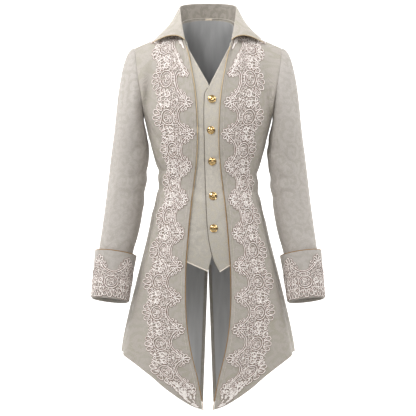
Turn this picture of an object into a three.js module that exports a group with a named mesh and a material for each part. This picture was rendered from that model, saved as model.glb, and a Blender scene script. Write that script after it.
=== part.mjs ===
// A tailcoat of jacquard cloth, filled out as when worn, with nobody in it. Millimetres, +Z up.
// The front faces -Y and the wearer's left is at +X. The origin lies between the shoulders, at
// the level where the shoulder seams meet the neck. Every piece is a closed wall of cloth.
import * as THREE from 'three';

// Cloth and seams
const COAT_CLOTH = 2.0;
const SLEEVE_CLOTH = 2.0;
const COLLAR_CLOTH = 1.6;
const VEST_CLOTH = 1.6;
const LINING_CLOTH = 1.0;
const LACE_CLOTH = 1.6;
const SEAM = 0.3;
// Layers of cloth with their own columns lie this far apart, so that no facet cuts the next layer
const LAYER_GAP = 1.2;
const LACE_GAP = 1.7;
// Where the fronts curve most, under the collar, the lace lies this much further out
const COLLAR_LIFT = 2.6;
const PIPING_RADIUS = 1.3;
const PIPING_GAP = 1.38;

// The torso: half its width, and how far the cloth stands in front of and behind its middle plane
const TORSO = [
  { z: -235, half: 174, front: 118, back: 117 },
  { z: -270, half: 165.5, front: 118, back: 113 },
  { z: -311, half: 155.5, front: 116, back: 107 },
  { z: -345, half: 146, front: 112, back: 102 },
  { z: -382, half: 136, front: 108, back: 97 },
  { z: -406, half: 133.7, front: 106, back: 95 },
  { z: -434, half: 137.7, front: 106, back: 97 },
  { z: -481, half: 147.7, front: 111, back: 104 },
  { z: -550, half: 161.5, front: 119, back: 114 },
  { z: -617, half: 177.4, front: 126, back: 123 },
  { z: -697, half: 197, front: 134, back: 132 },
  { z: -760, half: 213, front: 141, back: 139 },
  { z: -831, half: 228.7, front: 148, back: 147 },
  { z: -872, half: 234.6, front: 153, back: 151 },
  { z: -1030, half: 254, front: 168, back: 166 },
];
const CHEST_Z = -235;
const TORSO_POWER = 2.3;

// How far each front edge lies from the middle of the coat
const FRONT_EDGE = [
  { z: -32, x: 64 },
  { z: -66, x: 54.5 },
  { z: -110, x: 46.5 },
  { z: -157, x: 38.6 },
  { z: -220, x: 32.9 },
  { z: -295, x: 30.8 },
  { z: -367, x: 34.8 },
  { z: -446, x: 44.6 },
  { z: -499, x: 50.5 },
  { z: -566, x: 56.4 },
  { z: -631, x: 61.3 },
  { z: -681, x: 62.6 },
  { z: -736, x: 62.4 },
  { z: -803, x: 57.8 },
  { z: -871, x: 46.4 },
  { z: -934, x: 30.8 },
  { z: -1002, x: 17.5 },
  { z: -1030, x: 15 },
];

// The pointed hem, from the tip beside the opening to the side seam
const HEM = [
  { x: 0, z: -1020 },
  { x: 16, z: -1018 },
  { x: 54.5, z: -1003 },
  { x: 114, z: -964 },
  { x: 153.6, z: -931 },
  { x: 193, z: -903 },
  { x: 235, z: -870 },
];

// Half the width of the slit in the centre-back seam
const VENT_TOP = -640;
const VENT_BOTTOM = -1020;
const VENT_HALF_WIDTH = 14;

// The neckline of one side, from the front end of the collar round to the nape
const NECKLINE = [
  { x: 64, y: -62, z: -32 },
  { x: 74, y: -28, z: -10 },
  { x: 77, y: 8, z: 8 },
  { x: 71, y: 42, z: 26 },
  { x: 43, y: 70, z: 35 },
  { x: 0, y: 80, z: 38 },
];
const NECK_AT_SHOULDER = 2;
const SHOULDER_TIP = new THREE.Vector3(199, 6, -46);
// How the cloth above the chest leaves the chest line and arrives at the neck and the shoulder
const ARMPIT = { x: 10, front: 290, back: 340, rise: 110 };
const CHEST_LEAN = { front: 12, back: 22 };
const ARRIVE_NECK = { front: [32, 100, 170], back: [0, -46, 230] };
const ARRIVE_SHOULDER = { reach: 190, rise: 46 };
const ARRIVE_TIP = { reach: 120, rise: 118 };

// The sleeve, in sections square to the arm: outer and inner edge, middle and half depth
const SLEEVE = [
  { z: -300, outer: 258.5, inner: 161.5, y: 7, halfDepth: 66 },
  { z: -335, outer: 263, inner: 160.5, y: 8, halfDepth: 64 },
  { z: -394, outer: 270, inner: 167, y: 8, halfDepth: 61 },
  { z: -481, outer: 280, inner: 177.5, y: 1, halfDepth: 57 },
  { z: -538, outer: 288, inner: 188, y: -7, halfDepth: 54 },
  { z: -598, outer: 296.5, inner: 204, y: -17, halfDepth: 50 },
  { z: -735, outer: 312, inner: 221, y: -38, halfDepth: 46 },
];
const CAP_END = -300;
const SLEEVE_RADIUS = 55;
const SLEEVE_END = -726;
const FRONT_SEAM = THREE.MathUtils.degToRad(118);
const BACK_SEAM = THREE.MathUtils.degToRad(258);
// 1 where the cross product of turn and length points out of the sleeve, and -1 where it points in
const SLEEVE_FACING = 1;

// The turned-back cuff: how far its outside stands off the sleeve at each level
const CUFF = [
  { z: -605, off: 10.2 },
  { z: -640, off: 8.6 },
  { z: -690, off: 6.4 },
  { z: -722, off: 5.2 },
  { z: -729.5, off: 4.2 },
];
const CUFF_TURN_UP = 14;

// The collar: the fold between stand and fall, the middle of the fall and its outer edge
const COLLAR = [
  { foldX: 63.5, foldY: -60, foldZ: -25, bowX: 92, bowLift: 15, edgeX: 149, edgeY: -24, edgeZ: -31 },
  { foldX: 72, foldY: -30, foldZ: 18, bowX: 100, bowLift: 8, edgeX: 138, edgeY: -10, edgeZ: -17 },
  { foldX: 76, foldY: 8, foldZ: 51, bowX: 99, bowLift: 2, edgeX: 123, edgeY: 12, edgeZ: -5 },
  { foldX: 75, foldY: 46, foldZ: 71, bowX: 90, bowLift: 0, edgeX: 101, edgeY: 62, edgeZ: 8 },
  { foldX: 46, foldY: 78, foldZ: 79, bowX: 55, bowLift: 0, edgeX: 58, edgeY: 100, edgeZ: 17 },
  { foldX: 0, foldY: 86, foldZ: 81, bowX: 0, bowLift: 0, edgeX: 0, edgeY: 110, edgeZ: 20 },
];

// The waistcoat fronts: where the edge of each lies, past the middle where it is below zero
const VEST_OVER = [
  { z: -38, x: 61 },
  { z: -152, x: 3 },
  { z: -176, x: -9 },
  { z: -324, x: -9 },
  { z: -459, x: -5 },
  { z: -553, x: 1 },
  { z: -615, x: 14 },
  { z: -651, x: 31 },
];
const VEST_UNDER = [
  { z: -38, x: 61 },
  { z: -152, x: -3 },
  { z: -176, x: -16 },
  { z: -553, x: -15 },
  { z: -601, x: -11 },
  { z: -649, x: 1 },
];
const VEST_UNDER_COAT = 45;
const VEST_UNDER_COLLAR = 14;
const VEST_SIDE_RISE = 45;

// Buttons: where each is sewn, from the top down
const BUTTONS = [
  { x: 10, z: -188 },
  { x: 7.5, z: -272 },
  { x: 11, z: -356 },
  { x: 13, z: -448 },
  { x: 15, z: -535 },
];
const BUTTON_RADIUS = 10.8;
const BUTTON_HEIGHT = 7;
const BUTTON_SEAT = 0.72;

// The lace band, a row for each repeat: the tip of its fan and the tip of its spray
const LACE = [
  { fanZ: -36, fanX: 160, sprayZ: -34, sprayX: 70 },
  { fanZ: -89, fanX: 152, sprayZ: -121, sprayX: 52.7 },
  { fanZ: -157, fanX: 152, sprayZ: -202, sprayX: 42.7 },
  { fanZ: -238, fanX: 150, sprayZ: -284, sprayX: 36 },
  { fanZ: -324, fanX: 129, sprayZ: -371, sprayX: 44.6 },
  { fanZ: -413, fanX: 122, sprayZ: -457, sprayX: 54.5 },
  { fanZ: -502, fanX: 136, sprayZ: -554, sprayX: 64.5 },
  { fanZ: -594, fanX: 154, sprayZ: -634, sprayX: 68.3 },
  { fanZ: -678, fanX: 173, sprayZ: -717, sprayX: 72.4 },
  { fanZ: -761, fanX: 179, sprayZ: -797, sprayX: 64.5 },
  { fanZ: -845, fanX: 171, sprayZ: -878, sprayX: 49 },
  { fanZ: -918, fanX: 152, sprayZ: -948, sprayX: 38 },
  { fanZ: -1008, fanX: 40, sprayZ: -1008, sprayX: 22 },
];
const FAN_DEPTH = 9;
const SPRAY_DEPTH = 13;

const COLOURS = {
  jacquard: { color: '#bdb5aa', roughness: 0.72, metalness: 0 },
  lining: { color: '#808080', roughness: 0.42, metalness: 0 },
  lace: { color: '#e6dad2', roughness: 0.8, metalness: 0 },
  piping: { color: '#a9823f', roughness: 0.45, metalness: 0.2 },
  button: { color: '#c9a45c', roughness: 0.28, metalness: 1 },
};

const vector = (x, y, z) => new THREE.Vector3(x, y, z);
const mix = THREE.MathUtils.lerp;
const ease = THREE.MathUtils.smoothstep;

// A smooth function through the rows of a table, from the column `key` to the column `name`
function through(table, key, name) {
  const rows = [...table].sort((a, b) => a[key] - b[key]);
  const slope = (i) => {
    const before = rows[Math.max(0, i - 1)];
    const after = rows[Math.min(rows.length - 1, i + 1)];
    return (after[name] - before[name]) / (after[key] - before[key]);
  };
  return (at) => {
    const low = rows[0];
    const high = rows[rows.length - 1];
    if (at <= low[key]) return low[name] + slope(0) * (at - low[key]);
    if (at >= high[key]) return high[name] + slope(rows.length - 1) * (at - high[key]);
    let i = 0;
    while (rows[i + 1][key] < at) i += 1;
    const span = rows[i + 1][key] - rows[i][key];
    const t = (at - rows[i][key]) / span;
    return hermite(rows[i][name], slope(i) * span, rows[i + 1][name], slope(i + 1) * span, t);
  };
}

function hermite(from, fromTangent, to, toTangent, t) {
  const square = t * t;
  const cube = square * t;
  return from * (2 * cube - 3 * square + 1) + fromTangent * (cube - 2 * square + t)
    + to * (3 * square - 2 * cube) + toTangent * (cube - square);
}

function hermitePoint(from, fromTangent, to, toTangent, t) {
  return vector(...['x', 'y', 'z'].map((axis) => (
    hermite(from[axis], fromTangent[axis], to[axis], toTangent[axis], t))));
}

const torsoHalf = through(TORSO, 'z', 'half');
const torsoFront = through(TORSO, 'z', 'front');
const torsoBack = through(TORSO, 'z', 'back');
const frontEdge = through(FRONT_EDGE, 'z', 'x');
const hemLevel = through(HEM, 'x', 'z');
const ventHalf = (z) => {
  const open = THREE.MathUtils.clamp((VENT_TOP - z) / (VENT_TOP - VENT_BOTTOM), 0, 1);
  return SEAM / 2 + VENT_HALF_WIDTH * open;
};

// A point on the torso: `face` is -1 in front and 1 behind, `turn` runs from the middle to the side
function torsoPoint(face, turn, z) {
  const power = 2 / TORSO_POWER;
  const depth = face < 0 ? torsoFront(z) : torsoBack(z);
  const x = torsoHalf(z) * Math.sin(turn) ** power;
  const y = depth * Math.max(0, Math.cos(turn)) ** power;
  return vector(x, face * y, z);
}

// The turn of the torso at which the cloth lies x from the middle
function torsoTurn(x, z) {
  return Math.asin(Math.min(1, Math.abs(x) / torsoHalf(z)) ** (TORSO_POWER / 2));
}

const necklinePoints = [
  ...NECKLINE.map((p) => vector(-p.x, p.y, p.z)),
  ...[...NECKLINE].reverse().slice(1).map((p) => vector(p.x, p.y, p.z)),
];
const necklineCurve = new THREE.CatmullRomCurve3(necklinePoints, false, 'centripetal');
const napeRow = NECKLINE.length - 1;

// The neckline of the left side: row 0 is its front end and the last row is the nape
function neckline(row) {
  return necklineCurve.getPoint(1 - row / (2 * napeRow));
}

const shoulderNeck = neckline(NECK_AT_SHOULDER);
const shoulderNormal = vector(shoulderNeck.z - SHOULDER_TIP.z, 0, SHOULDER_TIP.x - shoulderNeck.x).normalize();
const NECK_SHARE = 0.36;

// The top edge of a front or a back: the neckline as far as NECK_SHARE, then the shoulder seam
function topEdge(face, u) {
  const innerRow = face < 0 ? 0 : napeRow;
  if (u <= NECK_SHARE) return neckline(mix(innerRow, NECK_AT_SHOULDER, Math.max(0, u) / NECK_SHARE));
  return shoulderNeck.clone().lerp(SHOULDER_TIP, (u - NECK_SHARE) / (1 - NECK_SHARE));
}

// The cloth above the chest: u runs from the inner edge to the armhole and t from chest to top
function upperPoint(face, u, t) {
  const innerTurn = face < 0 ? torsoTurn(frontEdge(CHEST_Z), CHEST_Z) : 0;
  const turn = mix(innerTurn, Math.PI / 2, u);
  const chest = torsoPoint(face, turn, CHEST_Z);
  const top = topEdge(face, u);
  const rise = top.z - CHEST_Z;
  const arm = ease(u, 0.55, 1) ** 2;
  const seam = ease(u, 0.06, NECK_SHARE);
  const panel = face < 0 ? 'front' : 'back';
  const pit = vector(ARMPIT.x, face * ARMPIT[panel], ARMPIT.rise);
  const up = vector(0, CHEST_LEAN[panel], rise).lerp(pit, arm);
  const over = vector(...ARRIVE_NECK[panel])
    .lerp(vector(0, -face * ARRIVE_SHOULDER.reach, ARRIVE_SHOULDER.rise), seam)
    .lerp(vector(0, -face * ARRIVE_TIP.reach, ARRIVE_TIP.rise), arm);
  const point = hermitePoint(chest, up, top, over, t);
  if (face < 0) {
    const leave = vector(0, CHEST_LEAN.front, neckline(0).z - CHEST_Z);
    const arrive = vector(...ARRIVE_NECK.front);
    const edgeTop = hermitePoint(torsoPoint(face, innerTurn, CHEST_Z), leave, neckline(0), arrive, t);
    point.x += (frontEdge(edgeTop.z) - edgeTop.x) * (1 - u) ** 2;
  }
  return point;
}

// The cloth below the chest: u runs from the inner edge to the side seam and r from chest to hem
function lowerPoint(face, u, r) {
  const inner = (z) => (face < 0 ? frontEdge(z) : ventHalf(z));
  const turnAt = (z) => mix(torsoTurn(inner(z), z), Math.PI / 2, u);
  let hem = mix(HEM[1].z, HEM[HEM.length - 1].z, u);
  for (let pass = 0; pass < 6; pass += 1) hem = hemLevel(torsoPoint(face, turnAt(hem), hem).x);
  const z = mix(CHEST_Z, hem, r);
  return torsoPoint(face, turnAt(z), z);
}

// One side of the coat's front or back: v runs from -1 at the top over 0 at the chest to 1 at the hem
function panelPoint(face, u, v) {
  const point = v < 0 ? upperPoint(face, u, -v) : lowerPoint(face, u, v);
  if (face > 0 && v < 0) point.x = Math.max(point.x, SEAM / 2);
  return point;
}

function normalOf(surface, u, v, step = 0.004) {
  const across = surface(u + step, v).sub(surface(u - step, v));
  const down = surface(u, v + step).sub(surface(u, v - step));
  return across.cross(down).normalize();
}

// The outward normal of a panel, which both sides of a seam share
function panelNormal(face, u, v) {
  const inU = THREE.MathUtils.clamp(u, 0.01, 0.985);
  const inV = THREE.MathUtils.clamp(v, -0.99, 0.99);
  const normal = normalOf((a, b) => panelPoint(face, a, b), inU, inV);
  if (normal.y * face < 0 && Math.abs(normal.y) > 0.2) normal.negate();
  if (normal.x < -0.3) normal.negate();
  const side = ease(u, 0.9, 1) * (v >= 0 ? 1 : 0);
  normal.lerp(vector(1, 0, 0), side).normalize();
  const seam = ease(-v, 0.72, 1) * ease(u, 0.2, NECK_SHARE);
  return normal.lerp(shoulderNormal, seam).normalize();
}

// A closed wall between two grids of points, rows down and columns across. `keep` says which cells
// hold cloth, and a ring joins its last column to its first.
function wall(outer, inner, { ring = false, keep = () => true } = {}) {
  const rows = outer.length;
  const columns = outer[0].length;
  const cellColumns = ring ? columns : columns - 1;
  const positions = [];
  for (const grid of [outer, inner]) {
    for (const row of grid) for (const point of row) positions.push(point.x, point.y, point.z);
  }
  const at = (layer, i, j) => layer * rows * columns + i * columns + (j % columns);
  const solid = (i, j) => {
    if (i < 0 || i >= rows - 1) return false;
    if (!ring && (j < 0 || j >= cellColumns)) return false;
    return keep(i, (j + cellColumns) % cellColumns);
  };
  const index = [];
  const quad = (a, b, c, d) => index.push(a, b, c, a, c, d);
  // A cell folds along its shorter diagonal, the same way in both layers and on both sides
  const face = (layer, i, j, flip) => {
    const next = (j + 1) % columns;
    const falling = outer[i][j].distanceTo(outer[i + 1][next]);
    const rising = outer[i + 1][j].distanceTo(outer[i][next]);
    const corners = [at(layer, i, j), at(layer, i + 1, j), at(layer, i + 1, j + 1), at(layer, i, j + 1)];
    if (falling > rising) corners.push(corners.shift());
    if (flip) corners.reverse();
    if (flip) corners.unshift(corners.pop());
    quad(...corners);
  };
  for (let i = 0; i < rows - 1; i += 1) {
    for (let j = 0; j < cellColumns; j += 1) {
      if (!solid(i, j)) continue;
      face(0, i, j, false);
      face(1, i, j, true);
      if (!solid(i - 1, j)) quad(at(0, i, j), at(0, i, j + 1), at(1, i, j + 1), at(1, i, j));
      if (!solid(i + 1, j)) quad(at(0, i + 1, j + 1), at(0, i + 1, j), at(1, i + 1, j), at(1, i + 1, j + 1));
      if (!solid(i, j - 1)) quad(at(0, i + 1, j), at(0, i, j), at(1, i, j), at(1, i + 1, j));
      if (!solid(i, j + 1)) quad(at(0, i, j + 1), at(0, i + 1, j + 1), at(1, i + 1, j + 1), at(1, i, j + 1));
    }
  }
  return outward(positions, index);
}

// A closed tube through rings of points; a loop joins its last ring to its first
function lofted(rings, loop = false) {
  const sides = rings[0].length;
  const positions = rings.flat().flatMap((point) => [point.x, point.y, point.z]);
  const index = [];
  const spans = loop ? rings.length : rings.length - 1;
  for (let i = 0; i < spans; i += 1) {
    for (let j = 0; j < sides; j += 1) {
      const a = i * sides + j;
      const b = i * sides + (j + 1) % sides;
      const c = ((i + 1) % rings.length) * sides + (j + 1) % sides;
      const d = ((i + 1) % rings.length) * sides + j;
      index.push(a, b, c, a, c, d);
    }
  }
  if (!loop) {
    const last = (rings.length - 1) * sides;
    for (let j = 1; j < sides - 1; j += 1) {
      index.push(0, j + 1, j);
      index.push(last, last + j, last + j + 1);
    }
  }
  return outward(positions, index);
}

// The geometry of a closed surface, turned so that its faces point out
function outward(positions, index) {
  let volume = 0;
  const point = (k) => vector(positions[3 * k], positions[3 * k + 1], positions[3 * k + 2]);
  for (let k = 0; k < index.length; k += 3) {
    volume += point(index[k]).dot(point(index[k + 1]).cross(point(index[k + 2])));
  }
  if (volume < 0) index.reverse();
  const geometry = new THREE.BufferGeometry();
  geometry.setAttribute('position', new THREE.Float32BufferAttribute(positions, 3));
  geometry.setIndex(index);
  geometry.computeVertexNormals();
  return geometry;
}

const mirrored = (point, side) => vector(point.x * side, point.y, point.z);
const grid = (rows, columns, make) => rows.map((row) => columns.map((column) => make(row, column)));
const steps = (from, to, count) => Array.from({ length: count + 1 }, (_, i) => mix(from, to, i / count));

const coat = new THREE.Group();

function add(name, geometry, finish) {
  const mesh = new THREE.Mesh(geometry, new THREE.MeshStandardMaterial(COLOURS[finish]));
  mesh.name = name;
  coat.add(mesh);
}

// Coat fronts and backs, with the gaps of their seams
const SIDES = [{ name: 'left', side: 1 }, { name: 'right', side: -1 }];
const LOWER_ROWS = [0.055, 0.11, 0.165, 0.22, 0.28, 0.34, 0.41, 0.48, 0.56, 0.64, 0.72, 0.8, 0.87, 0.935, 1];
const panelRows = [...steps(-1, 0, 8), ...LOWER_ROWS];
const panelColumns = [0, 0.12, 0.24, NECK_SHARE, 0.5, 0.64, 0.78, 0.9, 1];
// Along the side and shoulder seams the front and the back stand a little apart
const atSeam = (face, point) => vector(point.x, point.y + face * SEAM * 0.6, point.z);

function coatPanel(face, side) {
  const seamShare = (u, v) => Math.max(v >= 0 ? ease(u, 0.9, 1) : 0, ease(-v, 0.86, 1) * ease(u, 0.2, 0.36));
  const surface = (v, u) => {
    const point = panelPoint(face, u, v);
    return point.lerp(atSeam(face, point), seamShare(u, v));
  };
  const outer = grid(panelRows, panelColumns, (v, u) => mirrored(surface(v, u), side));
  const inner = grid(panelRows, panelColumns, (v, u) => (
    mirrored(surface(v, u).addScaledVector(panelNormal(face, u, v), -COAT_CLOTH), side)));
  if (face > 0) keepOffCentre(inner, side);
  return wall(outer, inner);
}

// Where the back's inside would cross the centre-back seam, it stops at the seam
function keepOffCentre(points, side) {
  for (const row of points) row[0].x = side * Math.max(side * row[0].x, SEAM / 2);
}

for (const { name, side } of SIDES) {
  add(`coat_front_${name}`, coatPanel(-1, side), 'jacquard');
  add(`coat_back_${name}`, coatPanel(1, side), 'jacquard');
}

// The armhole: turn 0 is the shoulder tip, and the turn grows over the front to the armpit and
// back up behind
function armhole(turn) {
  const whole = ((turn / Math.PI) % 2 + 2) % 2;
  if (whole <= 1) return panelPoint(-1, 1, whole - 1);
  return panelPoint(1, 1, 1 - whole);
}

const sleeveOuter = through(SLEEVE, 'z', 'outer');
const sleeveInner = through(SLEEVE, 'z', 'inner');
const sleeveY = through(SLEEVE, 'z', 'y');
const sleeveHalfDepth = through(SLEEVE, 'z', 'halfDepth');
const sleeveMiddle = (z) => vector((sleeveOuter(z) + sleeveInner(z)) / 2, sleeveY(z), z);

// A point of the sleeve's section square to the arm, with `off` mm added all round
function sleeveSection(z, turn, off = 0) {
  const along = sleeveMiddle(z + 12).sub(sleeveMiddle(z - 12)).normalize();
  const toOuter = vector(1, 0, 0).addScaledVector(along, -along.x).normalize();
  const toFront = along.clone().cross(toOuter).normalize();
  if (toFront.y > 0) toFront.negate();
  const halfWidth = (sleeveOuter(z) - sleeveInner(z)) / 2 + off;
  return sleeveMiddle(z)
    .addScaledVector(toOuter, halfWidth * Math.cos(turn))
    .addScaledVector(toFront, (sleeveHalfDepth(z) + off) * Math.sin(turn));
}

// How the sleeve head leaves the armhole at the top, in front, under the arm and behind
const HEAD = {
  top: { leave: vector(118, 0, 8), reach: 262 },
  front: { leave: vector(62, -40, -44), reach: 150 },
  pit: { leave: vector(8, 0, -62), reach: 58 },
  back: { leave: vector(58, 30, -44), reach: 150 },
};

function sleeveHead(turn, t) {
  const outwards = Math.cos(turn) ** 2;
  const level = Math.cos(turn) > 0 ? HEAD.top : HEAD.pit;
  const flank = Math.sin(turn) > 0 ? HEAD.front : HEAD.back;
  const leave = flank.leave.clone().lerp(level.leave, outwards);
  const reach = mix(flank.reach, level.reach, outwards);
  const start = armhole(turn).add(vector(SEAM + 0.15, 0, 0));
  const end = sleeveSection(CAP_END, turn);
  const arrive = sleeveSection(CAP_END - 6, turn).sub(sleeveSection(CAP_END + 6, turn)).normalize();
  return hermitePoint(start, leave, end, arrive.multiplyScalar(reach), t);
}

// The whole sleeve: v runs from 0 at the armhole over 1 where the head ends to 2 at the wrist
function sleevePoint(turn, v) {
  if (v <= 1) return sleeveHead(turn, v);
  return sleeveSection(mix(CAP_END, SLEEVE_END, v - 1), turn);
}

// The outward normal of the sleeve
function sleeveNormal(turn, v) {
  const normal = normalOf(sleevePoint, turn, THREE.MathUtils.clamp(v, 0.01, 1.98), 0.01);
  return normal.multiplyScalar(SLEEVE_FACING);
}

const sleeveRows = [...steps(0, 1, 7), ...steps(1, 2, 9).slice(1)];
const UPPER_COLUMNS = 13;
const UNDER_COLUMNS = 8;

function sleevePiece(fromTurn, toTurn, count, side) {
  const gap = SEAM / 2 / SLEEVE_RADIUS;
  const turns = steps(fromTurn + gap, toTurn - gap, count);
  const outer = grid(sleeveRows, turns, (v, turn) => mirrored(sleevePoint(turn, v), side));
  const inner = grid(sleeveRows, turns, (v, turn) => (
    mirrored(sleevePoint(turn, v).addScaledVector(sleeveNormal(turn, v), -SLEEVE_CLOTH), side)));
  return wall(outer, inner);
}

for (const { name, side } of SIDES) {
  add(`upper_sleeve_${name}`, sleevePiece(BACK_SEAM - 2 * Math.PI, FRONT_SEAM, UPPER_COLUMNS, side), 'jacquard');
  add(`under_sleeve_${name}`, sleevePiece(FRONT_SEAM, BACK_SEAM, UNDER_COLUMNS, side), 'jacquard');
}

// Cuffs: the outside goes down to the fold at the wrist, and the turned-up cloth holds the sleeve
const cuffOff = through(CUFF, 'z', 'off');
const turnsRound = (count) => steps(0, 2 * Math.PI, count).slice(0, -1);
const sleeveTurns = [
  ...steps(BACK_SEAM - 2 * Math.PI, FRONT_SEAM, UPPER_COLUMNS).slice(0, -1),
  ...steps(FRONT_SEAM, BACK_SEAM, UNDER_COLUMNS).slice(0, -1),
];

function cuffGeometry(side) {
  const foot = CUFF[CUFF.length - 1].z;
  const profile = [
    ...CUFF,
    { z: foot - 1.2, off: 2.8 },
    { z: foot - 0.8, off: 1.4 },
    { z: foot + 1, off: SEAM + 0.2 },
    { z: foot + CUFF_TURN_UP, off: SEAM + 0.2 },
    { z: foot + CUFF_TURN_UP + 3, off: 3.2 },
    { z: -650, off: 8 - COAT_CLOTH },
    { z: CUFF[0].z, off: CUFF[0].off - COAT_CLOTH },
  ];
  const rings = sleeveTurns.map((turn) => (
    profile.map(({ z, off }) => mirrored(sleeveSection(z, turn, off), side))));
  return lofted(rings, true);
}

// A round cord of piping, from a list of points on its middle line
function cord(middle, loop = false, sides = 5) {
  const rings = middle.map((point, i) => {
    const last = middle.length - 1;
    const before = middle[loop ? (i + last) % middle.length : Math.max(0, i - 1)];
    const after = middle[loop ? (i + 1) % middle.length : Math.min(last, i + 1)];
    const along = after.clone().sub(before).normalize();
    const level = vector(0, 0, 1).cross(along);
    const across = level.lengthSq() > 0.02 ? level.normalize() : vector(1, 0, 0).cross(along).normalize();
    const up = along.clone().cross(across);
    return steps(0, 2 * Math.PI, sides).slice(0, -1).map((turn) => point.clone()
      .addScaledVector(across, PIPING_RADIUS * Math.cos(turn))
      .addScaledVector(up, PIPING_RADIUS * Math.sin(turn)));
  });
  return lofted(rings, loop);
}

for (const { name, side } of SIDES) {
  add(`cuff_${name}`, cuffGeometry(side), 'jacquard');
  const top = CUFF[0];
  const middle = sleeveTurns.map((turn) => mirrored(
    sleeveSection(top.z + SEAM + PIPING_RADIUS, turn, top.off - COAT_CLOTH / 2), side));
  add(`piping_cuff_${name}`, cord(middle, true), 'piping');
}

// Lace round the cuff: its upper edge rises in a scallop over each motif
const CUFF_LACE = { top: -626, bottom: -724, scallop: 14, motifs: 4, perMotif: 7 };

function cuffLace(side) {
  const count = CUFF_LACE.motifs * CUFF_LACE.perMotif;
  const turns = turnsRound(count);
  const surface = (share, turn, off) => {
    const dip = CUFF_LACE.scallop * Math.abs(Math.sin(turn * CUFF_LACE.motifs / 2)) ** 0.7;
    const z = mix(CUFF_LACE.top - CUFF_LACE.scallop + dip, CUFF_LACE.bottom, share);
    return mirrored(sleeveSection(z, turn, cuffOff(z) + off), side);
  };
  const shares = [0, 0.3, 0.55, 0.8, 1];
  const outer = grid(shares, turns, (share, turn) => surface(share, turn, SEAM + 0.3 + LACE_CLOTH));
  const inner = grid(shares, turns, (share, turn) => surface(share, turn, SEAM + 0.3));
  const keep = (i, j) => {
    const place = j % CUFF_LACE.perMotif;
    return !((i === 1 && (place === 1 || place === 5)) || (i === 2 && place === 3));
  };
  return wall(outer, inner, { ring: true, keep });
}

for (const { name, side } of SIDES) add(`lace_cuff_${name}`, cuffLace(side), 'lace');

// A point x from the middle on the coat's front, at the level where that row meets the front edge.
// Inside the front edge the surface runs on across the opening, where the waistcoat lies.
function frontSurface(x, level) {
  const away = Math.abs(x);
  if (level <= CHEST_Z) return torsoPoint(-1, torsoTurn(away, level), level).setX(x);
  let low = 0;
  let high = 1;
  for (let pass = 0; pass < 26; pass += 1) {
    const middle = (low + high) / 2;
    if (upperPoint(-1, 0, middle).z < level) low = middle;
    else high = middle;
  }
  const t = low;
  const edge = upperPoint(-1, 0, t);
  const crown = torsoFront(CHEST_Z) - Math.abs(torsoPoint(-1, torsoTurn(edge.x, CHEST_Z), CHEST_Z).y);
  if (away <= edge.x) {
    return vector(x, edge.y - crown * (1 - (away / edge.x) ** 2), edge.z);
  }
  let near = 0;
  let far = 1;
  for (let pass = 0; pass < 26; pass += 1) {
    const middle = (near + far) / 2;
    if (upperPoint(-1, middle, t).x < away) near = middle;
    else far = middle;
  }
  return upperPoint(-1, near, t).setX(x);
}

function frontNormal(x, level) {
  const step = 1.5;
  const safeLevel = Math.min(level, neckline(0).z - 2 * step);
  const across = frontSurface(x + step, safeLevel).sub(frontSurface(x - step, safeLevel));
  const up = frontSurface(x, safeLevel + step).sub(frontSurface(x, safeLevel - step));
  const normal = across.cross(up).normalize();
  return normal.y > 0 ? normal.negate() : normal;
}

// Waistcoat fronts: the left one laps over the right one
const coatEdgeLevels = [-40, -66, -96, -126, -152, -176, -205, -235];

function vestPiece(table, depth, side) {
  const edge = through(table, 'z', 'x');
  const point = table[table.length - 1].z;
  const shares = [0, 0.2, 0.42, 0.62, 0.82, 1];
  const rows = [...coatEdgeLevels, ...steps(CHEST_Z, point, 9).slice(1)];
  const level = (row, share) => {
    if (row >= CHEST_Z) return row;
    return mix(CHEST_Z, point + VEST_SIDE_RISE * share, (row - CHEST_Z) / (point - CHEST_Z));
  };
  const place = (row, share, inwards) => {
    const z = level(row, share);
    const reach = mix(VEST_UNDER_COAT, VEST_UNDER_COLLAR, ease(z, -170, -60));
    const x = mix(edge(row), frontEdge(z) + reach, share);
    return mirrored(frontSurface(x, z).addScaledVector(frontNormal(x, z), -inwards), side);
  };
  const outer = grid(rows, shares, (row, share) => place(row, share, depth));
  const inner = grid(rows, shares, (row, share) => place(row, share, depth + VEST_CLOTH));
  return wall(outer, inner);
}

const overDepth = COAT_CLOTH + LAYER_GAP;
const underDepth = overDepth + VEST_CLOTH + LAYER_GAP;
add('vest_left', vestPiece(VEST_OVER, overDepth, 1), 'jacquard');
add('vest_right', vestPiece(VEST_UNDER, underDepth, -1), 'jacquard');

// Buttons: a dome on a short shank, sewn to the left waistcoat front
function buttonGeometry() {
  const r = BUTTON_RADIUS;
  const h = BUTTON_HEIGHT;
  const outline = [[0, 0], [0.26 * r, 0], [0.26 * r, 0.3 * h], [r, 0.38 * h], [r, 0.55 * h],
    [0.8 * r, 0.78 * h], [0.45 * r, 0.94 * h], [0, h]];
  const geometry = new THREE.LatheGeometry(outline.map(([x, y]) => new THREE.Vector2(x, y)), 14);
  return geometry.rotateX(Math.PI / 2);
}

BUTTONS.forEach(({ x, z }, i) => {
  const normal = frontNormal(x, z);
  const seat = frontSurface(x, z).addScaledVector(normal, BUTTON_SEAT - overDepth);
  const geometry = buttonGeometry();
  geometry.applyQuaternion(new THREE.Quaternion().setFromUnitVectors(vector(0, 0, 1), normal));
  geometry.translate(seat.x, seat.y, seat.z);
  add(`button_${i + 1}`, geometry, 'button');
});

// Lace down the coat fronts, moved out from the front's own points
const fanTip = through(LACE, 'fanZ', 'fanX');
const sprayTip = through(LACE, 'sprayZ', 'sprayX');
const hemAt = through(HEM, 'z', 'x');
const lacePhase = through(LACE.map((row, i) => ({ ...row, i })), 'fanZ', 'i');
const sprayPhase = through(LACE.map((row, i) => ({ ...row, i })), 'sprayZ', 'i');

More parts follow.
